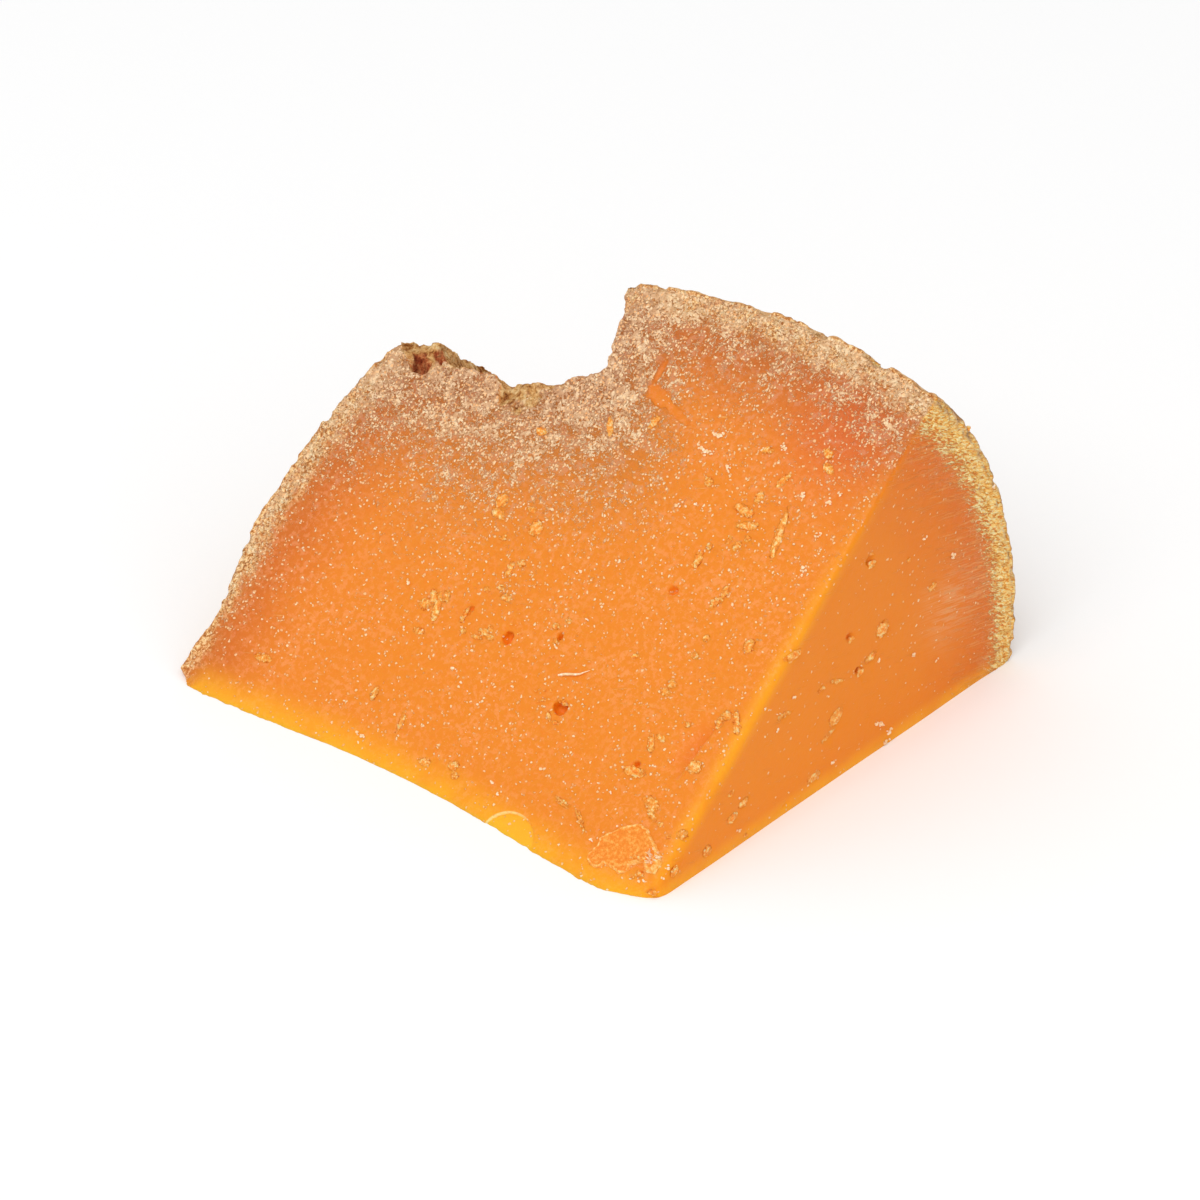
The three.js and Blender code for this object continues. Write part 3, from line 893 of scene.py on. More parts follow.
def raise_relief(wedge, cuts):
    """Moves the fine mesh's points into the relief of the rind, the crust and the paste."""
    points = points_of(wedge)
    x, rise, depth = cuts.leaning(points)
    near_leaning = smooth_step(depth, 18 * MM, 2 * MM)
    points[:, 1] += cuts.dish(x, rise) / cuts.sin * near_leaning
    rind_depth = cuts.rind_depth(points)
    swell_rind(points, rind_depth, cuts)
    on_shelf = crumble_shoulder(points, cuts)
    move_points(wedge, points)

    normals = normals_of(wedge)
    on_rind = smooth_step(rind_depth, 1.0 * MM, 0.25 * MM)
    gap = cuts.bite_gap(points)
    on_bite = np.maximum(smooth_step(gap, 1.8 * MM, 0.9 * MM) * (1 - on_rind), on_shelf)
    height = dry_relief(points, rind_depth, on_rind, on_bite, cuts.shape.crust_thickness)

    # The rim of each cut is worn round, and the paste is never quite flat.
    worn = smooth_step(rind_depth, 1.3 * MM, 0.0) * (1 - on_rind)
    height -= 0.35 * MM * worn
    height += 0.10 * MM * noise_field(points, 17 * MM, 2.2) * (1 - on_rind)
    x, rise, depth = cuts.leaning(points)
    height += tear_relief(points, LEANING_CHIPS, x, rise, depth - cuts.dish(x, rise))
    y, z = (points - CORNER).T[1:]
    height += tear_relief(points, CROSS_CHIPS, y, z, -x)
    broken_edge = np.maximum(np.abs(rind_depth), np.abs(gap))
    height -= 0.6 * MM * smooth_step(broken_edge, 2.6 * MM, 0.0)
    on_leaning = np.abs(depth) < NEAR_CUT
    thin = np.flatnonzero((rise < 6 * MM) & on_leaning)
    frayed = 0.26 * MM * noise_field(points[thin], 1.9 * MM, 6.6)
    frayed += 0.16 * MM * noise_field(points[thin], 0.7 * MM, 1.6)
    height[thin] += frayed * np.exp(-np.abs(rise[thin]) / (1.6 * MM))
    height += groove_relief(x, rise) * on_leaning
    height -= 0.35 * MM * torn_share(points, GOUGES, x, rise, depth - cuts.dish(x, rise))
    in_shell = (scallop_reach(x, rise) < 1) & on_leaning
    height -= 0.42 * MM * smooth_step(rise, 0.6 * MM, 3.6 * MM) * in_shell
    height -= 0.3 * MM * noise_field(points, 9 * MM, 14.2) * np.exp(-np.hypot(x, depth) / (3.5 * MM))
    points += normals * height[:, None]
    move_points(wedge, points)


def scallop_reach(x, rise):
    """Distance from the middle of the broken shell, 1 at its rim."""
    middle_x, middle_rise, half_length, half_height = SCALLOP
    return np.hypot((x / MM - middle_x) / half_length, (rise / MM - middle_rise) / half_height)


def pit_share(along, back):
    """How much of a pit in the shelf each point belongs to, and the pit's depth there."""
    share = np.zeros(len(along))
    deep = np.zeros(len(along))
    wobble = 0.35 * noise_field(np.stack((along, back, 0 * back), axis=1), 1.3 * MM, 9.1, octaves=2)
    for at_along, at_back, half_length, half_width, depth in SHELF_PITS:
        away = np.hypot((along / MM - at_along) / half_length, (back / MM - at_back) / half_width) + wobble
        share = np.maximum(share, smooth_step(away, 1.2, 0.9))
        deep = np.maximum(deep, smooth_step(away, 1.2, 0.2) * depth * MM)
    return share, deep


def shelf_height(points, cuts):
    """Height of the rough shelf at each point, its pits, and which points lie over it."""
    x, y, _ = (points - CORNER).T
    places = np.array(CRUMBLED_LIP) * MM
    back = y - np.interp(x, places[:, 0], places[:, 1]) * cuts.cos
    along = x + SHELF_SLANT * np.clip(back, 0, SHELF_SLANT_END)
    lip = np.interp(along, places[:, 0], places[:, 1])
    back = y - lip * cuts.cos
    over = np.flatnonzero((back > 0) & (along > places[0, 0]) & (x < places[-1, 0]))
    flat = points[over] * (1, 1, 0)
    pits = np.zeros(len(points))
    pits[over], deep = pit_share(along[over], back[over])
    height = lip * cuts.sin + SHELF_SLOPE * back
    height[over] += 0.6 * MM * noise_field(flat, 3.2 * MM, 7.7) + 0.35 * MM * noise_field(flat, 1.2 * MM, 2.7)
    height[over] -= deep
    return height, pits, over


def crumble_shoulder(points, cuts):
    """Lowers what stands behind the lip to a rough shelf with two pits; returns where the shelf is."""
    height, _, over = shelf_height(points, cuts)
    share = np.zeros(len(points))
    share[over] = points[over, 2] > height[over]
    points[over, 2] = np.minimum(points[over, 2], height[over])
    return share


def patch_share(across, up, patch, wobble):
    """How much of a torn patch each point belongs to, with a ragged outline."""
    at_across, at_up, half_length, half_width, _, turn = patch
    dx, dy = across / MM - at_across, up / MM - at_up
    u = (dx * math.cos(turn) + dy * math.sin(turn)) / half_length
    v = (dy * math.cos(turn) - dx * math.sin(turn)) / half_width
    return smooth_step(np.hypot(u, v) + wobble, 1.35, 0.95)


def torn_share(points, patches, across, up, below):
    """How much of any patch each point belongs to, near the surface of its cut."""
    share = np.zeros(len(points))
    shallow = np.flatnonzero(np.abs(below) < 1.5 * MM)
    wobble = 0.45 * noise_field(points[shallow], 0.8 * MM, 3.3)
    for patch in patches:
        reach = 1.6 * max(patch[2], patch[3]) * MM
        close = np.abs(across[shallow] - patch[0] * MM) < reach
        close &= np.abs(up[shallow] - patch[1] * MM) < reach
        picked = shallow[close]
        one = patch_share(across[picked], up[picked], patch, wobble[close])
        share[picked] = np.maximum(share[picked], one)
    return share


def tear_relief(points, patches, across, up, below):
    """Torn patches lie a little low and are rough."""
    share = torn_share(points, patches, across, up, below)
    torn = np.flatnonzero(share > 0)
    relief = np.zeros(len(points))
    rough = noise_field(points[torn], 0.9 * MM, 12.6, octaves=2)
    relief[torn] = (-0.16 * MM + 0.22 * MM * rough) * share[torn]
    return relief


def groove_share(x, rise):
    """Distance from the lip of the long tear, above 0 beyond it, and how far along it a point lies."""
    places = np.array(GROOVE_LIP) * MM
    lip = np.interp(rise, places[:, 1], places[:, 0])
    along = (rise - places[0, 1]) / (places[-1, 1] - places[0, 1])
    return x - lip, np.clip(along, 0, 1) * (along > 0) * (along < 1)


def groove_relief(x, rise):
    """The paste sinks towards the lip of the tear and steps up sharply beyond it."""
    across, along = groove_share(x, rise)
    deep = np.sin(np.pi * along) ** 0.6
    width = np.where(across < 0, 2.4 * MM, 0.35 * MM)
    return -1.1 * MM * deep * np.exp(-((across / width) ** 2))


def eye_share(eyes, across, up, sunk):
    """How much of any eye each point belongs to, where it lies a little under its cut."""
    share = np.zeros(len(across))
    inside = smooth_step(sunk, 0.25 * MM, 0.8 * MM) * (sunk < NEAR_CUT)
    for eye in eyes:
        share = np.maximum(share, patch_share(across, up, eye, 0.0) * inside)
    return share


def paint_points(wedge, cuts):
    """Stores what the material reads: how deep, how near and how torn each point is."""
    points = points_of(wedge)
    normals = normals_of(wedge)
    x, rise, depth = cuts.leaning(points)
    below = depth - cuts.dish(x, rise)
    y, z = (points - CORNER).T[1:]
    rind_depth = cuts.rind_depth(points)
    gap = cuts.bite_gap(points)

    on_rind = smooth_step(rind_depth, 1.6 * MM, 0.2 * MM) * smooth_step(
        np.sum(normals * cuts.outward(points), axis=1), 0.15, 0.55
    )
    facing_lean = smooth_step(normals @ np.array((0, -cuts.sin, cuts.cos)), 0.35, 0.75)
    facing_cross = smooth_step(normals[:, 0], 0.45, 0.8)
    on_bite = smooth_step(gap, 1.6 * MM, 0.6 * MM) * (1 - smooth_step(below, 1.2 * MM, 0.2 * MM))
    haze = np.exp(-((np.maximum(0, gap) / (11 * MM)) ** 2)) * facing_lean

    shelf, pits, over = shelf_height(points, cuts)
    on_shelf = np.zeros(len(points))
    on_shelf[over] = smooth_step(np.abs(points[over, 2] - shelf[over]), 2.0 * MM, 1.0 * MM)
    on_bite = np.maximum(on_bite, on_shelf * smooth_step(below, 0.1 * MM, 0.5 * MM))
    hollow = pits * on_shelf
    haze_y, haze_z, half_width, half_height = CROSS_HAZE
    cross_haze = np.exp(-(((y - haze_y) / half_width) ** 2) - ((z - haze_z) / half_height) ** 2)

    # How thick the pale grains lie: most along the rind and beside the bites, least in the heart.
    upper = smooth_step(rise, 42 * MM, 72 * MM) * smooth_step(x, -70 * MM, -50 * MM)
    reach = (6.0 + 7.5 * upper) * MM
    haze = np.maximum(haze, 0.50 * upper * facing_lean * np.exp(-((rind_depth / (14 * MM)) ** 2)))
    bloom = 0.56 * np.exp(-((rind_depth / reach) ** 1.5)) + 0.14 + 0.10 * upper
    bloom = np.maximum(bloom, 0.86 * np.exp(-((np.maximum(0, gap) / (19 * MM)) ** 2)))
    for at_x, at_rise, radius, strength in BLOOM_PATCHES:
        away = np.hypot(x - at_x * MM, rise - at_rise * MM) / (radius * MM)
        bloom = np.maximum(bloom, 0.7 * strength * np.exp(-away ** 2))
    bloom *= smooth_step(rise, 2 * MM, 16 * MM) * 0.7 + 0.3
    bare = torn_share(points, GOUGES, x, rise, below)
    bloom *= 1 - bare
    haze *= 1 - 0.85 * bare

    torn = torn_share(points, LEANING_CHIPS, x, rise, below)
    torn = np.maximum(torn, torn_share(points, CROSS_CHIPS, y, z, -x))
    sunk = np.minimum(below, -x)
    hole = np.maximum(
        eye_share(LEANING_EYES, x, rise, sunk),
        eye_share(CROSS_EYES, y, z, sunk),
    )
    across_groove, along_groove = groove_share(x, rise)
    # Painted shade on the soft side of the tear, strongest midway along it.
    groove_painted_shade = np.sin(np.pi * along_groove) * np.exp(-((across_groove / (2.2 * MM)) ** 2)) * (across_groove < 0)
    blush_x, blush_rise, blush_radius = BLUSH
    blush = np.exp(-(np.hypot(x - blush_x, rise - blush_rise) / blush_radius) ** 2)

    layers = {
        "rind_depth": rind_depth / MM,
        "rind": on_rind,
        "bite": on_bite,
        "haze": haze,
        "hollow": hollow,
        "bloom": bloom,
        "torn": torn,
        "hole": hole,
        "groove_painted_shade": groove_painted_shade * facing_lean,
        "blush": blush * facing_lean,
        "cross": facing_cross,
        "cross_haze": cross_haze * facing_cross,
    }
    for name, values in layers.items():
        store(wedge, name, values)


# ---------------------------------------------------------------- chips, crystals and the flake

def ground_height(wedge, place, across, up, spread):
    """Height of the wedge's surface over a cut's plane round one spot, in millimetres."""
    down = place.to_3x3() @ Vector((0, 0, -1))
    heights = []
    for side, lift in ((0, 0), (spread, 0), (-spread, 0), (0, spread), (0, -spread)):
        start = place @ (Vector((across + side, up + lift, 4.0)) * MM)
        hit, spot, _, _ = wedge.ray_cast(start, down)
        if hit:
            heights.append((place.inverted() @ spot).z / MM)
    return float(np.median(heights)) if heights else 0.0


def join_parts(name, parts):
    """Joins small parts into one piece."""
    deselect_all()
    for part in parts:
        part.select_set(True)
    bpy.context.view_layer.objects.active = parts[0]
    bpy.ops.object.join()
    parts[0].name = name
    return parts[0]


def lay_crumbs(wedge, place, patch, chance, size, chunk=False):
    """Strews small angular crumbs over one patch, round a torn chunk where there is one."""
    across, up, half_length, half_width, height, turn = patch
    ground = ground_height(wedge, place, across, up, 0.6 * half_width)
    count = int(np.clip(half_length * half_width * 3.6 / size ** 2, 2, 12))
    crumbs = []
    if chunk:
        radii = (0.95 * half_length, 0.95 * half_width, 0.75 * height)
        crumbs.append(add_lump("chunk", (across, up, ground), radii, turn, 2.6, 4, 0.36, 0.7, place))
    for _ in range(count):
        angle, spread = chance.uniform(0, 2 * math.pi), math.sqrt(chance.uniform(0.4 if chunk else 0, 1.1))
        along, beside = spread * half_length * math.cos(angle), spread * half_width * math.sin(angle)
        at_across = across + along * math.cos(turn) - beside * math.sin(turn)
        at_up = up + along * math.sin(turn) + beside * math.cos(turn)
        radius = size * chance.uniform(0.45, 1.0)
        radii = (radius, radius * chance.uniform(0.5, 0.9), 0.7 * height * chance.uniform(0.5, 1.0))
        at = (at_across, at_up, ground + 0.1)
        crumbs.append(add_crumb(at, radii, turn + chance.normal(0, 0.5), chance, place))
    return crumbs


def add_crumb(at, radii, turn, chance, place):
    """One angular crumb of a few dozen faces."""
    crumb = bpy.data.objects.new("crumb", bpy.data.objects[CRUMB].data.copy())
    bpy.context.scene.collection.objects.link(crumb)
    points = points_of(crumb)
    points *= 1 + 0.10 * chance.normal(size=(len(points), 1))
    points *= 1 + 0.35 * noise_field(points, 0.9, chance.uniform(0, 99))[:, None]
    points *= np.array(radii)
    tilt = Euler((chance.normal(0, 0.25), chance.normal(0, 0.25), turn)).to_matrix()
    move_points(crumb, (points @ np.array(tilt).T + np.array(at)) * MM)
    crumb.data.transform(place)
    return crumb


def outline_distance(points, outline):
    """Distance from each flat point to an outline, above 0 inside it."""
    corners = np.array(outline)
    nearest = np.full(len(points), 1e9)
    inside = np.zeros(len(points), bool)
    for start, end in zip(corners, np.roll(corners, -1, axis=0)):
        span = end - start
        share = np.clip((points - start) @ span / (span @ span), 0, 1)
        nearest = np.minimum(nearest, np.linalg.norm(points - start - share[:, None] * span, axis=1))
        crosses = (start[1] > points[:, 1]) != (end[1] > points[:, 1])
        at = (end[0] - start[0]) * (points[:, 1] - start[1]) / (end[1] - start[1] + 1e-12) + start[0]
        inside ^= crosses & (points[:, 0] < at)
    return np.where(inside, nearest, -nearest)


def lift_flake(cuts):
    """A thin leaf of cheese that curls up along its frayed rim."""
    deselect_all()
    bpy.ops.mesh.primitive_grid_add(x_subdivisions=120, y_subdivisions=100, size=2)
    flake = bpy.context.object
    flake.name = "lifted_flake"
    points = points_of(flake) * FLAKE_REACH + FLAKE_MIDDLE
    frayed = outline_distance(points[:, :2], FLAKE_OUTLINE)
    frayed += 0.30 * noise_field(points, 0.7, 5.2) + 0.2 * noise_field(points, 1.9, 3.1)
    points[:, 2] = 0.22 + 0.28 * np.exp(-np.maximum(frayed, 0) / 0.5) + 0.10 * noise_field(points, 1.6, 8.8)
    points[:, 2] += 0.25 * smooth_step(points[:, 0], -7, -2)
    move_points(flake, points * MM)
    activate(flake)
    for part in (*flake.data.edges, *flake.data.polygons):
        part.select = False
    for vertex in flake.data.vertices:
        vertex.select = bool(frayed[vertex.index] < 0)
    bpy.ops.object.mode_set(mode="EDIT")
    bpy.ops.mesh.select_mode(type="VERT")
    bpy.ops.mesh.delete(type="VERT")
    bpy.ops.object.mode_set(mode="OBJECT")
    apply_modifier(flake, "SOLIDIFY", thickness=FLAKE_THICKNESS, offset=-1)
    apply_modifier(flake, "REMESH", mode="VOXEL", voxel_size=FLAKE_FINENESS, adaptivity=0.0)
    points = points_of(flake)
    relief = 0.05 * MM * noise_field(points, 0.5 * MM, 7.3, octaves=2)
    points += normals_of(flake) * relief[:, None]
    move_points(flake, points)
    rim = outline_distance(points[:, :2] / MM, FLAKE_OUTLINE)
    store(flake, "broken", smooth_step(rim, 0.45, 0.05))
    flake.data.transform(cuts.lean)
    return flake


def lay_fibre(wedge, cuts):
    """A pale fibre lying on the leaning cut, tapering to a thin tail."""
    line = bpy.data.curves.new("pale_fibre", "CURVE")
    line.dimensions = "3D"
    line.bevel_depth = MM
    line.bevel_resolution = 3
    line.use_fill_caps = True
    spline = line.splines.new("NURBS")
    spline.points.add(len(FIBRE) - 1)
    for point, (across, up, height, radius) in zip(spline.points, FIBRE):
        ground = ground_height(wedge, cuts.lean, across, up, 0.2)
        point.co = (*(cuts.lean @ (Vector((across, up, ground + height)) * MM)), 1)
        point.radius = radius
    spline.use_endpoint_u = True
    spline.order_u = 3
    spline.resolution_u = 6
    fibre = bpy.data.objects.new("pale_fibre", line)
    bpy.context.scene.collection.objects.link(fibre)
    activate(fibre)
    bpy.ops.object.convert(target="MESH")
    return bpy.context.object


# ------------------------------------------------------------------------------- materials

class Finish:
    """A material's node tree, built one step at a time."""

    def __init__(self, name):
        self.material = bpy.data.materials.new(name)
        self.material.use_nodes = True
        self.tree = self.material.node_tree
        self.tree.nodes.clear()
        self.shader = self.node("ShaderNodeBsdfPrincipled")
        output = self.node("ShaderNodeOutputMaterial")
        self.tree.links.new(self.shader.outputs[0], output.inputs[0])
        self.place = self.node("ShaderNodeTexCoord").outputs["Object"]

    def node(self, kind, **settings):
        """Adds a node with its own settings."""
        made = self.tree.nodes.new(kind)
        for name, value in settings.items():
            setattr(made, name, value)
        return made

    def feed(self, socket, value):
        """Links a socket, or sets it where the value is a constant."""
        if isinstance(value, bpy.types.NodeSocket):
            self.tree.links.new(value, socket)
        else:
            socket.default_value = value

    def attribute(self, name):
        """One of the numbers stored on the mesh."""
        return self.node("ShaderNodeAttribute", attribute_name=name).outputs["Fac"]

    def mapped(self, place, turn=(0, 0, 0), stretch=(1, 1, 1), shift=(0, 0, 0)):
        """Coordinates stretched, turned and then shifted."""
        mapping = self.node("ShaderNodeMapping")
        self.feed(mapping.inputs["Vector"], place)
        mapping.inputs["Rotation"].default_value = turn
        mapping.inputs["Scale"].default_value = stretch
        mapping.inputs["Location"].default_value = shift
        return mapping.outputs[0]

    def in_millimetres(self, turn=(0, 0, 0), shift=(0, 0, 0)):
        """The object's own coordinates in millimetres, turned and then shifted."""
        return self.mapped(self.place, turn, (1 / MM, 1 / MM, 1 / MM), shift)

    def noise(self, place, scale, detail=2.0, roughness=0.5, distortion=0.0):
        """Soft noise, from 0 to 1."""
        made = self.node("ShaderNodeTexNoise")
        self.feed(made.inputs["Vector"], place)
        made.inputs["Scale"].default_value = scale
        made.inputs["Detail"].default_value = detail
        made.inputs["Roughness"].default_value = roughness
        made.inputs["Distortion"].default_value = distortion
        return made.outputs[0]

    def cells(self, place, scale):
        """Distance to the nearest of scattered points."""
        made = self.node("ShaderNodeTexVoronoi")
        self.feed(made.inputs["Vector"], place)
        made.inputs["Scale"].default_value = scale
        return made.outputs["Distance"]

    def grains(self, place, scale, share, rim, core):
        """A share of scattered grains, and a number from 0 to 1 that differs between them."""
        made = self.node("ShaderNodeTexVoronoi")
        self.feed(made.inputs["Vector"], place)
        made.inputs["Scale"].default_value = scale
        parts = self.node("ShaderNodeSeparateColor")
        self.feed(parts.inputs[0], made.outputs["Color"])
        chosen = self.maths("LESS_THAN", parts.outputs[0], share)
        shape = self.step(made.outputs["Distance"], rim, core)
        return self.product(chosen, shape), parts.outputs[1]

    def warped(self, place, scale, reach):
        """Coordinates pushed about by noise."""
        made = self.node("ShaderNodeTexNoise")
        self.feed(made.inputs["Vector"], place)
        made.inputs["Scale"].default_value = scale
        made.inputs["Detail"].default_value = 2.0
        push = self.node("ShaderNodeVectorMath", operation="MULTIPLY_ADD")
        self.feed(push.inputs[0], made.outputs["Color"])
        push.inputs[1].default_value = (reach, reach, reach)
        self.feed(push.inputs[2], place)
        return push.outputs[0]

    def step(self, value, low, high, low_to=0.0, high_to=1.0):
        """Smooth rise from one value to another; low and high may be sockets."""
        made = self.node("ShaderNodeMapRange", interpolation_type="SMOOTHSTEP")
        sockets = ("Value", "From Min", "From Max", "To Min", "To Max")
        for name, given in zip(sockets, (value, low, high, low_to, high_to)):
            self.feed(made.inputs[name], given)
        return made.outputs[0]

    def maths(self, operation, first, second=0.0):
        """One sum on two values."""
        made = self.node("ShaderNodeMath", operation=operation)
        self.feed(made.inputs[0], first)
        self.feed(made.inputs[1], second)
        return made.outputs[0]

    def axes(self, place):
        """The three coordinates of a place."""
        parts = self.node("ShaderNodeSeparateXYZ")
        self.feed(parts.inputs[0], place)
        return parts.outputs

    def chain(self, operation, values):
        """One sum carried on from value to value."""
        result = values[0]
        for value in values[1:]:
            result = self.maths(operation, result, value)
        return result

    def product(self, *values):
        """All the values multiplied."""
        return self.chain("MULTIPLY", values)

    def total(self, *values):
        """All the values added."""
        return self.chain("ADD", values)

    def largest(self, *values):
        """The largest of the values."""
        return self.chain("MAXIMUM", values)

    def spread(self, value, width):
        """A value from 0 to 1, spread about 0 over that width."""
        return self.product(self.maths("SUBTRACT", value, 0.5), width)

    def mix(self, share, first, second):
        """Two colours mixed by a share."""
        made = self.node("ShaderNodeMix", data_type="RGBA", blend_type="MIX")
        self.feed(made.inputs[0], share)
        for socket, value in ((made.inputs[6], first), (made.inputs[7], second)):
            self.feed(socket, value if isinstance(value, bpy.types.NodeSocket) else (*value, 1.0))
        return made.outputs[2]

    def ramp(self, value, *stops):
        """A colour for each place along a value from 0 to 1."""
        made = self.node("ShaderNodeValToRGB")
        elements = made.color_ramp.elements
        while len(elements) < len(stops):
            elements.new(0.5)
        for element, (place, shade) in zip(elements, stops):
            element.position = place
            element.color = (*shade, 1.0)
        self.feed(made.inputs[0], value)
        return made.outputs[0]

    def bump(self, height, distance, strength=1.0, below=None):
        """Fine relief on top of what is below it."""
        made = self.node("ShaderNodeBump")
        self.feed(made.inputs["Height"], height)
        made.inputs["Distance"].default_value = distance
        made.inputs["Strength"].default_value = strength
        if below is not None:
            self.feed(made.inputs["Normal"], below)
        return made.outputs[0]

    def look(self, settings):
        """Feeds the shader's sockets, each by its name."""
        for name, value in settings.items():
            self.feed(self.shader.inputs[name], value)


RAMP_END = 40.0                     # millimetres of depth at the end of the paste's colour ramps
DRAG_TURN = math.radians(22)       # the way that the knife went across the leaning cut
STREAK_TURN = math.radians(13)      # the tilt of the cross cut's streaks
CRINKLE_TURN = math.radians(30)     # and of the crinkles in its crust
SKIN = {"Subsurface Radius": (1.0, 0.45, 0.15), "Subsurface Scale": 1.0 * MM}


class CheeseFinish(Finish):
    """The wedge's material, with the places, stored numbers and patterns that its layers share."""

    def __init__(self, shape):
        super().__init__("aged_cheese_surface")
        self.lean = shape.wedge_angle
        self.crust_depth = shape.crust_thickness / MM
        self.millimetres = self.in_millimetres()
        self.stirred = self.warped(self.millimetres, 1.6, 0.7)
        self.streaked = self.mapped(self.in_millimetres((STREAK_TURN, 0, 0)), stretch=(1.4, 0.24, 4.2))
        corner = Matrix.Rotation(-self.lean, 3, "X") @ Vector(CORNER) / -MM
        self.along, self.rise, self.over = self.axes(self.in_millimetres((-self.lean, 0, 0), corner))

        self.rind_depth = self.attribute("rind_depth")
        self.rind = self.attribute("rind")
        self.bite = self.attribute("bite")
        self.bloom = self.attribute("bloom")
        self.haze = self.attribute("haze")
        self.cross = self.attribute("cross")
        self.off_cross = self.maths("SUBTRACT", 1.0, self.cross)

        self.cloud = self.noise(self.millimetres, 0.14, 3, 0.6)
        self.rough = self.noise(self.millimetres, 1.7, 4, 0.65)
        self.rind_grain = self.noise(self.millimetres, 0.9, 5, 0.68)
        self.sand = self.noise(self.stirred, 1.9, 3, 0.72)
        self.sandy = self.noise(self.stirred, 2.3, 2, 0.75, 0.6)
        frayed = self.total(self.attribute("torn"), self.maths("SUBTRACT", self.rough, 0.5))
        self.torn = self.step(frayed, 0.38, 0.55)

    def on_cross(self, elsewhere, there):
        """One value off the cross cut and another on it."""
        return self.step(self.cross, 0.0, 1.0, elsewhere, there)


def paste_layer(finish, colours):
    """The paste, darker behind the crust and brighter towards the heart."""
    wandering = finish.total(finish.rind_depth, finish.spread(finish.cloud, 7.0))
    wandering_depth = finish.maths("DIVIDE", wandering, RAMP_END)
    leaning_paste = finish.ramp(
        wandering_depth,
        (0.10, display(206, 112, 40)),
        (0.19, display(213, 112, 36)),
        (0.30, display(224, 122, 36)),
        (0.48, display(233, 133, 36)),
        (0.85, colours.paste),
    )
    cross_paste = finish.ramp(
        wandering_depth,
        (0.10, display(224, 114, 20)),
        (0.19, display(222, 110, 12)),
        (0.32, display(226, 118, 10)),
        (0.60, display(232, 129, 12)),
        (1.00, display(236, 134, 18)),
    )
    paste = finish.mix(finish.cross, leaning_paste, cross_paste)
    mottle = finish.step(finish.noise(finish.stirred, 1.1, 4, 0.7), 0.47, 0.62)
    clear = finish.step(finish.noise(finish.millimetres, 0.11, 2, 0.5), 0.35, 0.65, 0.4, 1.0)
    mottle = finish.product(mottle, finish.off_cross, clear, 0.28)
    paste = finish.mix(mottle, paste, display(255, 180, 130))
    paste = finish.mix(finish.product(finish.attribute("blush"), 0.6), paste, display(230, 98, 46))
    # A darker orange on the soft side of the tear: painted shade in its hollow.
    return finish.mix(finish.product(finish.attribute("groove_painted_shade"), 0.45), paste, display(232, 112, 4))


def painted_glow_share(finish):
    """Where a painted glow stands for light through the thin cheese, with a painted highlight on the rounded
    ridge: along the ridge and the lower edges.
    """
    height = finish.axes(finish.millimetres)[2]
    off_ridge = finish.maths("ABSOLUTE", finish.along)
    off_ridge = finish.largest(off_ridge, finish.maths("ABSOLUTE", finish.over))
    ridge = finish.product(finish.step(off_ridge, 3.2, 0.0), finish.step(finish.rise, 80.0, 40.0, 0.1, 0.5))
    near_front = finish.step(finish.over, -4.5, -3.5)
    thin_front = finish.product(finish.step(height, 4.6, -1.2), finish.off_cross, near_front, 0.85)
    thin_cross = finish.product(finish.step(height, 3.6, 0.0), finish.cross, 0.62)
    clouded = finish.step(finish.cloud, 0.25, 0.6, 0.6, 1.0)
    behind_crust = finish.step(finish.rind_depth, 3.0, 7.0)
    return finish.product(finish.largest(ridge, thin_front, thin_cross), clouded, behind_crust)


def shell_shares(finish):
    """Where the thin shell has broken off the lower edge, painted with a glow, and the painted highlight
    along the rim that it left, on the pole side.
    """
    middle_x, middle_rise, half_length, half_height = SCALLOP
    shell_x = finish.maths("DIVIDE", finish.maths("SUBTRACT", finish.along, middle_x), half_length)
    shell_rise = finish.maths("DIVIDE", finish.maths("SUBTRACT", finish.rise, middle_rise), half_height)
    square = finish.total(finish.product(shell_x, shell_x), finish.product(shell_rise, shell_rise))
    shell = finish.maths("SQRT", square)
    near_face = finish.step(finish.over, -2.5, -1.5)
    inside = finish.product(finish.step(shell, 1.02, 0.98), near_face, 0.6)
    off_rim = finish.maths("ABSOLUTE", finish.maths("SUBTRACT", shell, 1.02))
    towards_pole = finish.step(finish.along, -26.0, -29.0)
    rim = finish.product(finish.step(off_rim, 0.06, 0.01), towards_pole, near_face, 0.75)
    return inside, rim


def line_shares(finish):
    """Lines that the knife dragged with streaks off the cross cut's crust, and wisps beside them."""
    on_lean = finish.in_millimetres((-finish.lean, 0, -DRAG_TURN))
    drag_noise = finish.noise(finish.mapped(on_lean, stretch=(0.30, 2.8, 2.8)), 1.0, 2, 0.5)
    drag_place = finish.step(finish.noise(finish.millimetres, 0.13, 1, 0.5), 0.5, 0.62)
    drags = finish.product(finish.step(drag_noise, 0.68, 0.73), drag_place, finish.off_cross)
    streak_noise = finish.noise(finish.streaked, 1.0, 3, 0.62)
    streak_gate = finish.step(finish.rind_depth, 21.0, 4.5, 0.66, 0.49)
    past_gate = finish.maths("SUBTRACT", streak_noise, streak_gate)
    streaks = finish.product(finish.step(past_gate, 0.0, 0.06), finish.cross)
    wisps = finish.product(finish.attribute("cross_haze"), finish.step(streak_noise, 0.40, 0.62), 0.5)
    return finish.largest(drags, streaks), wisps


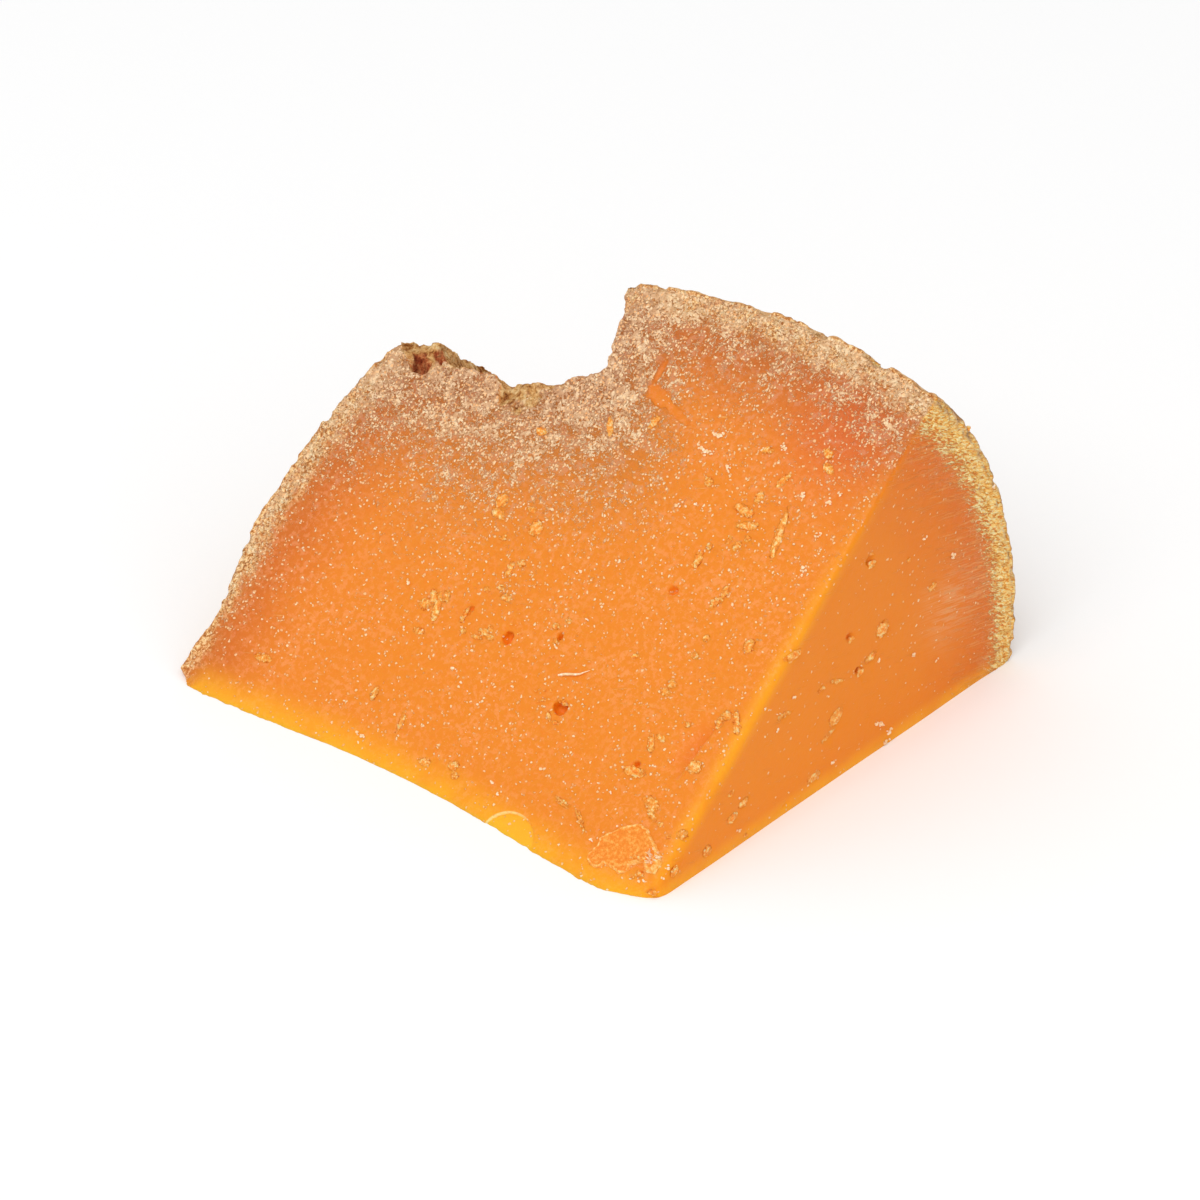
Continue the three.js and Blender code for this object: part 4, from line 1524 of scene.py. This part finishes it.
def torn_layer(finish, colours, paste, shell_rim_highlight):
    """Torn patches, with painted shadow in their gaps and painted highlights on their crumbs, the broken
    shell's rim with its painted highlight, and the eyes.
    """
    # The torn paste's own colour in the middle, painted shadow at the dark end and a painted highlight at the
    # pale end.
    torn_shade_and_painted_light = finish.ramp(
        finish.rough,
        (0.36, display(224, 108, 14)),
        (0.46, display(244, 142, 34)),
        (0.58, colours.torn),
        (0.68, display(255, 204, 120)),
    )
    paste = finish.mix(finish.product(finish.torn, 0.9), paste, torn_shade_and_painted_light)
    # The painted highlight along the broken shell's rim.
    paste = finish.mix(shell_rim_highlight, paste, display(255, 224, 150))
    hole = finish.product(finish.attribute("hole"), finish.step(finish.rough, 0.35, 0.6, 1.0, 0.5))
    return finish.mix(hole, paste, colours.hole)


def crust_shares(finish):
    """The crinkles of the cross cut, and how far the crust of each cut reaches in."""
    tilted = finish.in_millimetres((CRINKLE_TURN, 0, 0))
    crinkle = finish.noise(finish.mapped(tilted, stretch=(2.0, 0.95, 3.4)), 1.0, 2, 0.5, 0.8)
    streaky_depth = finish.spread(finish.noise(finish.streaked, 0.7, 3, 0.6), 7.0)
    streaky_depth = finish.total(finish.rind_depth, streaky_depth)
    cross_depth = finish.maths("SUBTRACT", streaky_depth, finish.spread(crinkle, 12.0))
    cross_crust = finish.step(cross_depth, finish.crust_depth + 1.4, finish.crust_depth - 1.8)
    ragged_depth = finish.spread(finish.noise(finish.millimetres, 0.45, 4, 0.65), 8.0)
    ragged_depth = finish.total(finish.rind_depth, ragged_depth)
    lean_crust = finish.step(ragged_depth, finish.crust_depth + 1.0, finish.crust_depth - 2.6)
    return crinkle, cross_crust, lean_crust


def crust_layer(finish, colours, paste, crinkle, cross_crust, lean_crust):
    """Pale crinkles on the cross cut, and brown ground under packed grains on the leaning cut."""
    cross_crust_shade = finish.ramp(
        crinkle,
        (0.32, colours.crust_gap),
        (0.44, display(246, 178, 80)),
        (0.54, display(255, 210, 122)),
        (0.64, colours.crust_crest),
    )
    sand_shade = finish.ramp(
        finish.sand,
        (0.40, colours.crust_ground),
        (0.47, display(206, 138, 76)),
        (0.54, display(236, 184, 122)),
        (0.61, display(254, 222, 168)),
    )
    surface = finish.mix(finish.product(lean_crust, finish.off_cross), paste, sand_shade)
    return finish.mix(finish.product(cross_crust, finish.cross), surface, cross_crust_shade)


def grain_shade(finish):
    """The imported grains: pale along the rind, dull beside the bites and warm in the heart."""
    tone = finish.noise(finish.millimetres, 0.9, 3, 0.6)
    rim_shade = finish.ramp(
        tone, (0.34, display(230, 176, 122)), (0.50, display(248, 206, 156)), (0.64, display(255, 232, 188))
    )
    dull_shade = finish.ramp(
        tone, (0.34, display(192, 142, 104)), (0.50, display(214, 168, 128)), (0.64, display(240, 204, 164))
    )
    shade = finish.mix(finish.haze, rim_shade, dull_shade)
    return finish.mix(finish.step(finish.bloom, 0.16, 0.42), display(251, 176, 116), shade)


def bloom_layer(finish, colours, surface):
    """Soft patches, packed grains and fine grains; the share of the two kinds of grain comes too."""
    patchy = finish.step(finish.noise(finish.millimetres, 0.36, 3, 0.6), 0.3, 0.7, 0.45, 1.5)
    gathered = finish.product(finish.bloom, patchy, finish.on_cross(1.0, 0.12))
    soft_field = finish.total(finish.noise(finish.stirred, 0.7, 3, 0.65), finish.product(gathered, 0.3))
    soft_patch = finish.product(finish.step(soft_field, 0.68, 0.80), finish.off_cross, 0.35)
    surface = finish.mix(soft_patch, surface, colours.bloom)

    islands = finish.noise(finish.stirred, 0.33, 3, 0.6)
    field = finish.total(finish.product(islands, 0.38), finish.product(finish.sandy, 0.62))
    field = finish.total(field, finish.product(finish.bloom, 0.30))
    packed = finish.product(finish.step(field, 0.71, 0.745), finish.on_cross(1.0, 0.1))
    surface = finish.mix(finish.product(packed, 0.92), surface, grain_shade(finish))

    fine_share = finish.total(finish.product(gathered, 0.62), 0.02)
    fine, fine_pick = finish.grains(finish.stirred, 2.1, fine_share, 0.5, 0.36)
    fine_shade = finish.ramp(
        fine_pick, (0.0, display(242, 172, 110)), (0.5, display(252, 200, 144)), (1.0, display(255, 230, 188))
    )
    surface = finish.mix(finish.product(fine, 0.85), surface, fine_shade)
    return surface, finish.largest(fine, packed)


def outside_layer(finish, colours, surface):
    """The rind, the broken walls and shelf, and the pits in the shelf."""
    rind_cells = finish.cells(finish.millimetres, 0.32)
    rind_shade = finish.ramp(
        finish.rind_grain,
        (0.32, colours.rind_pit),
        (0.43, colours.rind),
        (0.56, colours.rind_dust),
        (0.68, display(246, 216, 172)),
    )
    rind_shade = finish.mix(finish.step(rind_cells, 0.42, 0.12, 0.0, 0.7), rind_shade, colours.rind_pit)
    surface = finish.mix(finish.rind, surface, rind_shade)
    bite_shade = finish.ramp(
        finish.rind_grain,
        (0.34, display(126, 66, 28)),
        (0.43, display(188, 124, 62)),
        (0.53, display(226, 174, 108)),
        (0.65, display(248, 212, 154)),
    )
    surface = finish.mix(finish.bite, surface, bite_shade)
    pit_shade = finish.ramp(
        finish.rind_grain,
        (0.38, display(150, 62, 32)),
        (0.50, display(200, 106, 60)),
        (0.64, display(232, 168, 108)),
    )
    return finish.mix(finish.attribute("hollow"), surface, pit_shade)


def fine_relief(finish, dusty, crinkles, raised):
    """Bumps too small for the mesh, from the paste's skin up to the grain of the rind."""
    skin = finish.bump(finish.noise(finish.millimetres, 0.9, 4, 0.65), 0.13 * MM)
    under_bloom = finish.step(finish.bloom, 0.1, 0.5)
    gritty = finish.product(finish.largest(finish.sand, finish.sandy), under_bloom, finish.off_cross)
    grainy = finish.bump(finish.total(dusty, gritty), 0.12 * MM, 1.0, skin)
    crinkled = finish.bump(crinkles, 0.35 * MM, 0.8, grainy)
    lined = finish.bump(raised, 0.05 * MM, 1.0, crinkled)
    ripped = finish.bump(finish.product(finish.rough, finish.torn), 0.4 * MM, 0.9, lined)
    stony = finish.product(finish.rind_grain, finish.largest(finish.rind, finish.bite))
    return finish.bump(stony, 0.6 * MM, 0.8, ripped)


def cheese_material(shape, colours):
    """Paste, crust, bloom and rind in one surface, driven by what is stored on the mesh."""
    finish = CheeseFinish(shape)
    # The paste, under a painted glow along the thin lower edges and a painted highlight on the ridge.
    paste = finish.mix(painted_glow_share(finish), paste_layer(finish, colours), colours.edge)
    in_shell, shell_rim_highlight = shell_shares(finish)
    # Painted glow: the thin broken shell painted bright yellow.
    paste = finish.mix(in_shell, paste, display(255, 186, 40))
    paste = finish.mix(finish.product(finish.haze, 0.88), paste, colours.haze)
    lines, wisps = line_shares(finish)
    paste = finish.mix(wisps, paste, display(244, 188, 134))
    paste = finish.mix(finish.product(lines, finish.on_cross(0.5, 0.25)), paste, display(250, 184, 104))
    paste = torn_layer(finish, colours, paste, shell_rim_highlight)
    crinkle, cross_crust, lean_crust = crust_shares(finish)
    surface = crust_layer(finish, colours, paste, crinkle, cross_crust, lean_crust)
    surface, dusty = bloom_layer(finish, colours, surface)
    salt, _ = finish.grains(finish.stirred, 0.9, 0.32, 0.17, 0.10)
    salt = finish.product(salt, finish.on_cross(1.0, 0.3))
    surface = finish.mix(finish.product(salt, 0.85), surface, display(255, 220, 176))
    crinkles = finish.product(crinkle, cross_crust, finish.cross)
    crust = finish.mix(finish.cross, lean_crust, cross_crust)
    dry = finish.largest(crust, finish.rind, finish.bite, dusty)
    finish.look({
        "Base Color": outside_layer(finish, colours, surface),
        "Roughness": finish.step(dry, 0.0, 1.0, 0.48, 0.9),
        "Subsurface Weight": finish.step(dry, 0.0, 1.0, 0.3, 0.0),
        "Specular IOR Level": 0.2,
        "Normal": fine_relief(finish, dusty, crinkles, finish.largest(lines, salt)),
        **SKIN,
    })
    return finish.material


def crystal_material(colours):
    """Dry white crystals and crumbs."""
    finish = Finish("cheese_crystal")
    grain = finish.noise(finish.in_millimetres(), 2.2, 3, 0.6)
    shade = finish.ramp(
        grain, (0.3, display(238, 190, 130)), (0.5, colours.crystal), (0.7, display(255, 242, 222))
    )
    finish.look({"Base Color": shade, "Roughness": 0.7, "Normal": finish.bump(grain, 0.1 * MM)})
    return finish.material


def torn_material(name, dark_grain, heart_shade, pale_grain):
    """Lifted paste, with a painted highlight along its broken rim."""
    finish = Finish(name)
    grain = finish.noise(finish.in_millimetres(), 1.9, 4, 0.65)
    frayed = finish.total(finish.attribute("broken"), finish.maths("SUBTRACT", grain, 0.5))
    heart = finish.ramp(grain, (0.36, dark_grain), (0.50, heart_shade), (0.64, pale_grain))
    # Painted highlight: along the frayed rim the colours run paler, up to the palest.
    rim = finish.ramp(grain, (0.34, heart_shade), (0.50, pale_grain), (0.64, display(*BROKEN_RIM_HIGHLIGHT)))
    finish.look({
        "Base Color": finish.mix(finish.step(frayed, 0.45, 0.85), heart, rim),
        "Roughness": 0.6,
        "Specular IOR Level": 0.3,
        "Subsurface Weight": 0.25,
        "Normal": finish.bump(grain, 0.15 * MM),
        **SKIN,
    })
    return finish.material


def floor_material(stage):
    """A plain pale table."""
    finish = Finish("pale_table")
    soft = finish.noise(finish.place, 3.0, 2, 0.5)
    shade = finish.mix(finish.product(soft, 0.02), tuple(stage.floor), display(240, 240, 240))
    finish.look({"Base Color": shade, "Roughness": 0.8, "Specular IOR Level": 0.1})
    return finish.material


# ------------------------------------------------------------------------------- operators

class CHEESE_OT_wedge(bpy.types.Operator):
    """Cut the wedge from its ball, carve it and give it its surface"""

    bl_idname = "cheese.wedge"
    bl_label = "Wedge"

    def execute(self, context):
        shape = context.scene.cheese_shape
        cuts = Cuts(shape)
        wedge = cut_from_ball(cuts)
        carve(wedge, cuts)
        apply_modifier(wedge, "REMESH", mode="VOXEL", voxel_size=shape.fineness, adaptivity=0.0)
        soften_corner(wedge)
        raise_relief(wedge, cuts)
        level_base(wedge)
        faces = sum(len(p.vertices) - 2 for p in wedge.data.polygons)
        apply_modifier(wedge, "DECIMATE", decimate_type="COLLAPSE", ratio=min(1.0, shape.triangles / faces))
        paint_points(wedge, cuts)
        finish_piece(wedge, cheese_material(shape, context.scene.cheese_colours), NODE)
        return {"FINISHED"}


class CHEESE_OT_flake(bpy.types.Operator):
    """Lift the thin flake beside the front corner"""

    bl_idname = "cheese.flake"
    bl_label = "Lifted Flake"

    def execute(self, context):
        flake = lift_flake(Cuts(context.scene.cheese_shape))
        finish_piece(flake, torn_material("flake_surface", *(display(*c) for c in FLAKE_SHADES)))
        return {"FINISHED"}


class CHEESE_OT_chips(bpy.types.Operator):
    """Tear small chips and shavings up from the two steep cuts"""

    bl_idname = "cheese.chips"
    bl_label = "Torn Chips"

    def execute(self, context):
        colours = context.scene.cheese_colours
        cuts = Cuts(context.scene.cheese_shape)
        wedge = bpy.data.objects[WEDGE]
        surface = torn_material("chip_surface", display(*CHIP_DARK), colours.torn, display(*BROKEN_RIM_HIGHLIGHT))
        chance = np.random.default_rng(3)
        add_ico(CRUMB, 1)
        shavings = [(x, rise, half, 0.10, 0.16, SHAVING_TURN) for x, rise, half in SHAVINGS]
        groups = (
            ("leaning_chips", LEANING_CHIPS, cuts.lean, 0.36, True),
            ("cross_chips", CROSS_CHIPS, cuts.cross, 0.36, True),
            ("knife_shavings", shavings, cuts.lean, 0.26, False),
        )
        for name, patches, place, size, chunk in groups:
            parts = []
            for patch in patches:
                parts += lay_crumbs(wedge, place, patch, chance, size, chunk)
            finish_piece(join_parts(name, parts), surface)
        bpy.data.objects.remove(bpy.data.objects[CRUMB])
        return {"FINISHED"}


class CHEESE_OT_crystals(bpy.types.Operator):
    """Scatter white crystals and lay the pale fibre"""

    bl_idname = "cheese.crystals"
    bl_label = "Crystals and Fibre"

    def execute(self, context):
        cuts = Cuts(context.scene.cheese_shape)
        wedge = bpy.data.objects[WEDGE]
        surface = crystal_material(context.scene.cheese_colours)
        chance = np.random.default_rng(7)
        add_ico(CRUMB, 1)
        parts = []
        for spots, place in ((LEANING_CRYSTALS, cuts.lean), (CROSS_CRYSTALS, cuts.cross)):
            for spot in spots:
                parts += lay_crumbs(wedge, place, spot, chance, 0.38)
        for _ in range(SPECK_TRIES):
            across, up = -chance.uniform(1, 92), chance.uniform(4, 90)
            radius = chance.uniform(0.06, 0.14)
            spot = np.array([cuts.lean @ (Vector((across, up, 0)) * MM)])
            if cuts.rind_depth(spot)[0] > SPECKS_OFF_RIND and cuts.bite_gap(spot)[0] > SPECKS_OFF_BITES:
                at = (across, up, ground_height(wedge, cuts.lean, across, up, 0.1))
                parts.append(add_crumb(at, (radius * 1.3, radius, radius), 0, chance, cuts.lean))
        bpy.data.objects.remove(bpy.data.objects[CRUMB])
        finish_piece(join_parts("white_crystals", parts), surface)
        finish_piece(lay_fibre(wedge, cuts), surface)
        return {"FINISHED"}


class CHEESE_OT_stage(bpy.types.Operator):
    """Lay the pale floor, hang the lights and set the camera"""

    bl_idname = "cheese.stage"
    bl_label = "Stage"

    def execute(self, context):
        stage = context.scene.cheese_stage
        deselect_all()
        bpy.ops.mesh.primitive_plane_add(size=stage.floor_size)
        floor = context.object
        floor.name = "pale_floor"
        floor.data.materials.append(floor_material(stage))
        floor.location.z = -FLOOR_DROP

        world = bpy.data.worlds.new("soft_room")
        context.scene.world = world
        world.use_nodes = True
        background = world.node_tree.nodes["Background"]
        background.inputs["Color"].default_value = (1, 1, 1, 1)
        background.inputs["Strength"].default_value = stage.sky

        add_area_light("key_light", KEY_AT, KEY_WIDTH, stage.key)
        add_area_light("cross_fill", FILL_AT, FILL_WIDTH, stage.fill)
        add_camera(context, stage)
        return {"FINISHED"}


def add_area_light(name, at, width, power):
    """A square soft light aimed at the middle of the wedge."""
    light = bpy.data.lights.new(name, "AREA")
    light.size = width
    light.energy = power
    lamp = bpy.data.objects.new(name, light)
    bpy.context.scene.collection.objects.link(lamp)
    lamp.location = at
    aim = LIGHTS_AIM - Vector(at)
    lamp.rotation_euler = aim.to_track_quat("-Z", "Y").to_euler()


def add_camera(context, stage):
    """The camera, looking down at the ridge."""
    camera = bpy.data.cameras.new("camera")
    camera.lens = stage.lens
    camera.sensor_width = SENSOR_WIDTH
    camera.clip_start = 0.05
    viewer = bpy.data.objects.new("camera", camera)
    context.scene.collection.objects.link(viewer)
    viewer.location = Vector(CORNER) + CAMERA_FROM_CORNER
    viewer.rotation_euler = Euler((math.pi / 2 - CAMERA_ELEVATION, 0, CAMERA_AZIMUTH))
    context.scene.camera = viewer
    context.scene.view_settings.view_transform = "Standard"


class CHEESE_PT_panel(bpy.types.Panel):
    """Lists the wedge's operators and settings"""

    bl_idname = "CHEESE_PT_panel"
    bl_label = "Aged Cheese Wedge"
    bl_space_type = "VIEW_3D"
    bl_region_type = "UI"
    bl_category = "Cheese"

    def draw(self, context):
        for step in OPERATORS:
            self.layout.operator(step.bl_idname)
        for name, group in SETTINGS.items():
            box = self.layout.box()
            for setting in group.__annotations__:
                box.prop(getattr(context.scene, name), setting)


OPERATORS = (
    CHEESE_OT_wedge,
    CHEESE_OT_flake,
    CHEESE_OT_chips,
    CHEESE_OT_crystals,
    CHEESE_OT_stage,
)
SETTINGS = {
    "cheese_shape": CheeseShape,
    "cheese_colours": CheeseColours,
    "cheese_stage": CheeseStage,
}


def register():
    """Makes the settings, the operators and the panel known to Blender."""
    for group in (*SETTINGS.values(), *OPERATORS, CHEESE_PT_panel):
        bpy.utils.register_class(group)
    for name, group in SETTINGS.items():
        setattr(bpy.types.Scene, name, bpy.props.PointerProperty(type=group))


def unregister():
    """Takes them away again."""
    for name in SETTINGS:
        delattr(bpy.types.Scene, name)
    for group in reversed((*SETTINGS.values(), *OPERATORS, CHEESE_PT_panel)):
        bpy.utils.unregister_class(group)


def main():
    """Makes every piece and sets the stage."""
    register()
    bpy.ops.cheese.wedge()
    bpy.ops.cheese.flake()
    bpy.ops.cheese.chips()
    bpy.ops.cheese.crystals()
    bpy.ops.cheese.stage()


if __name__ == "__main__":
    main()
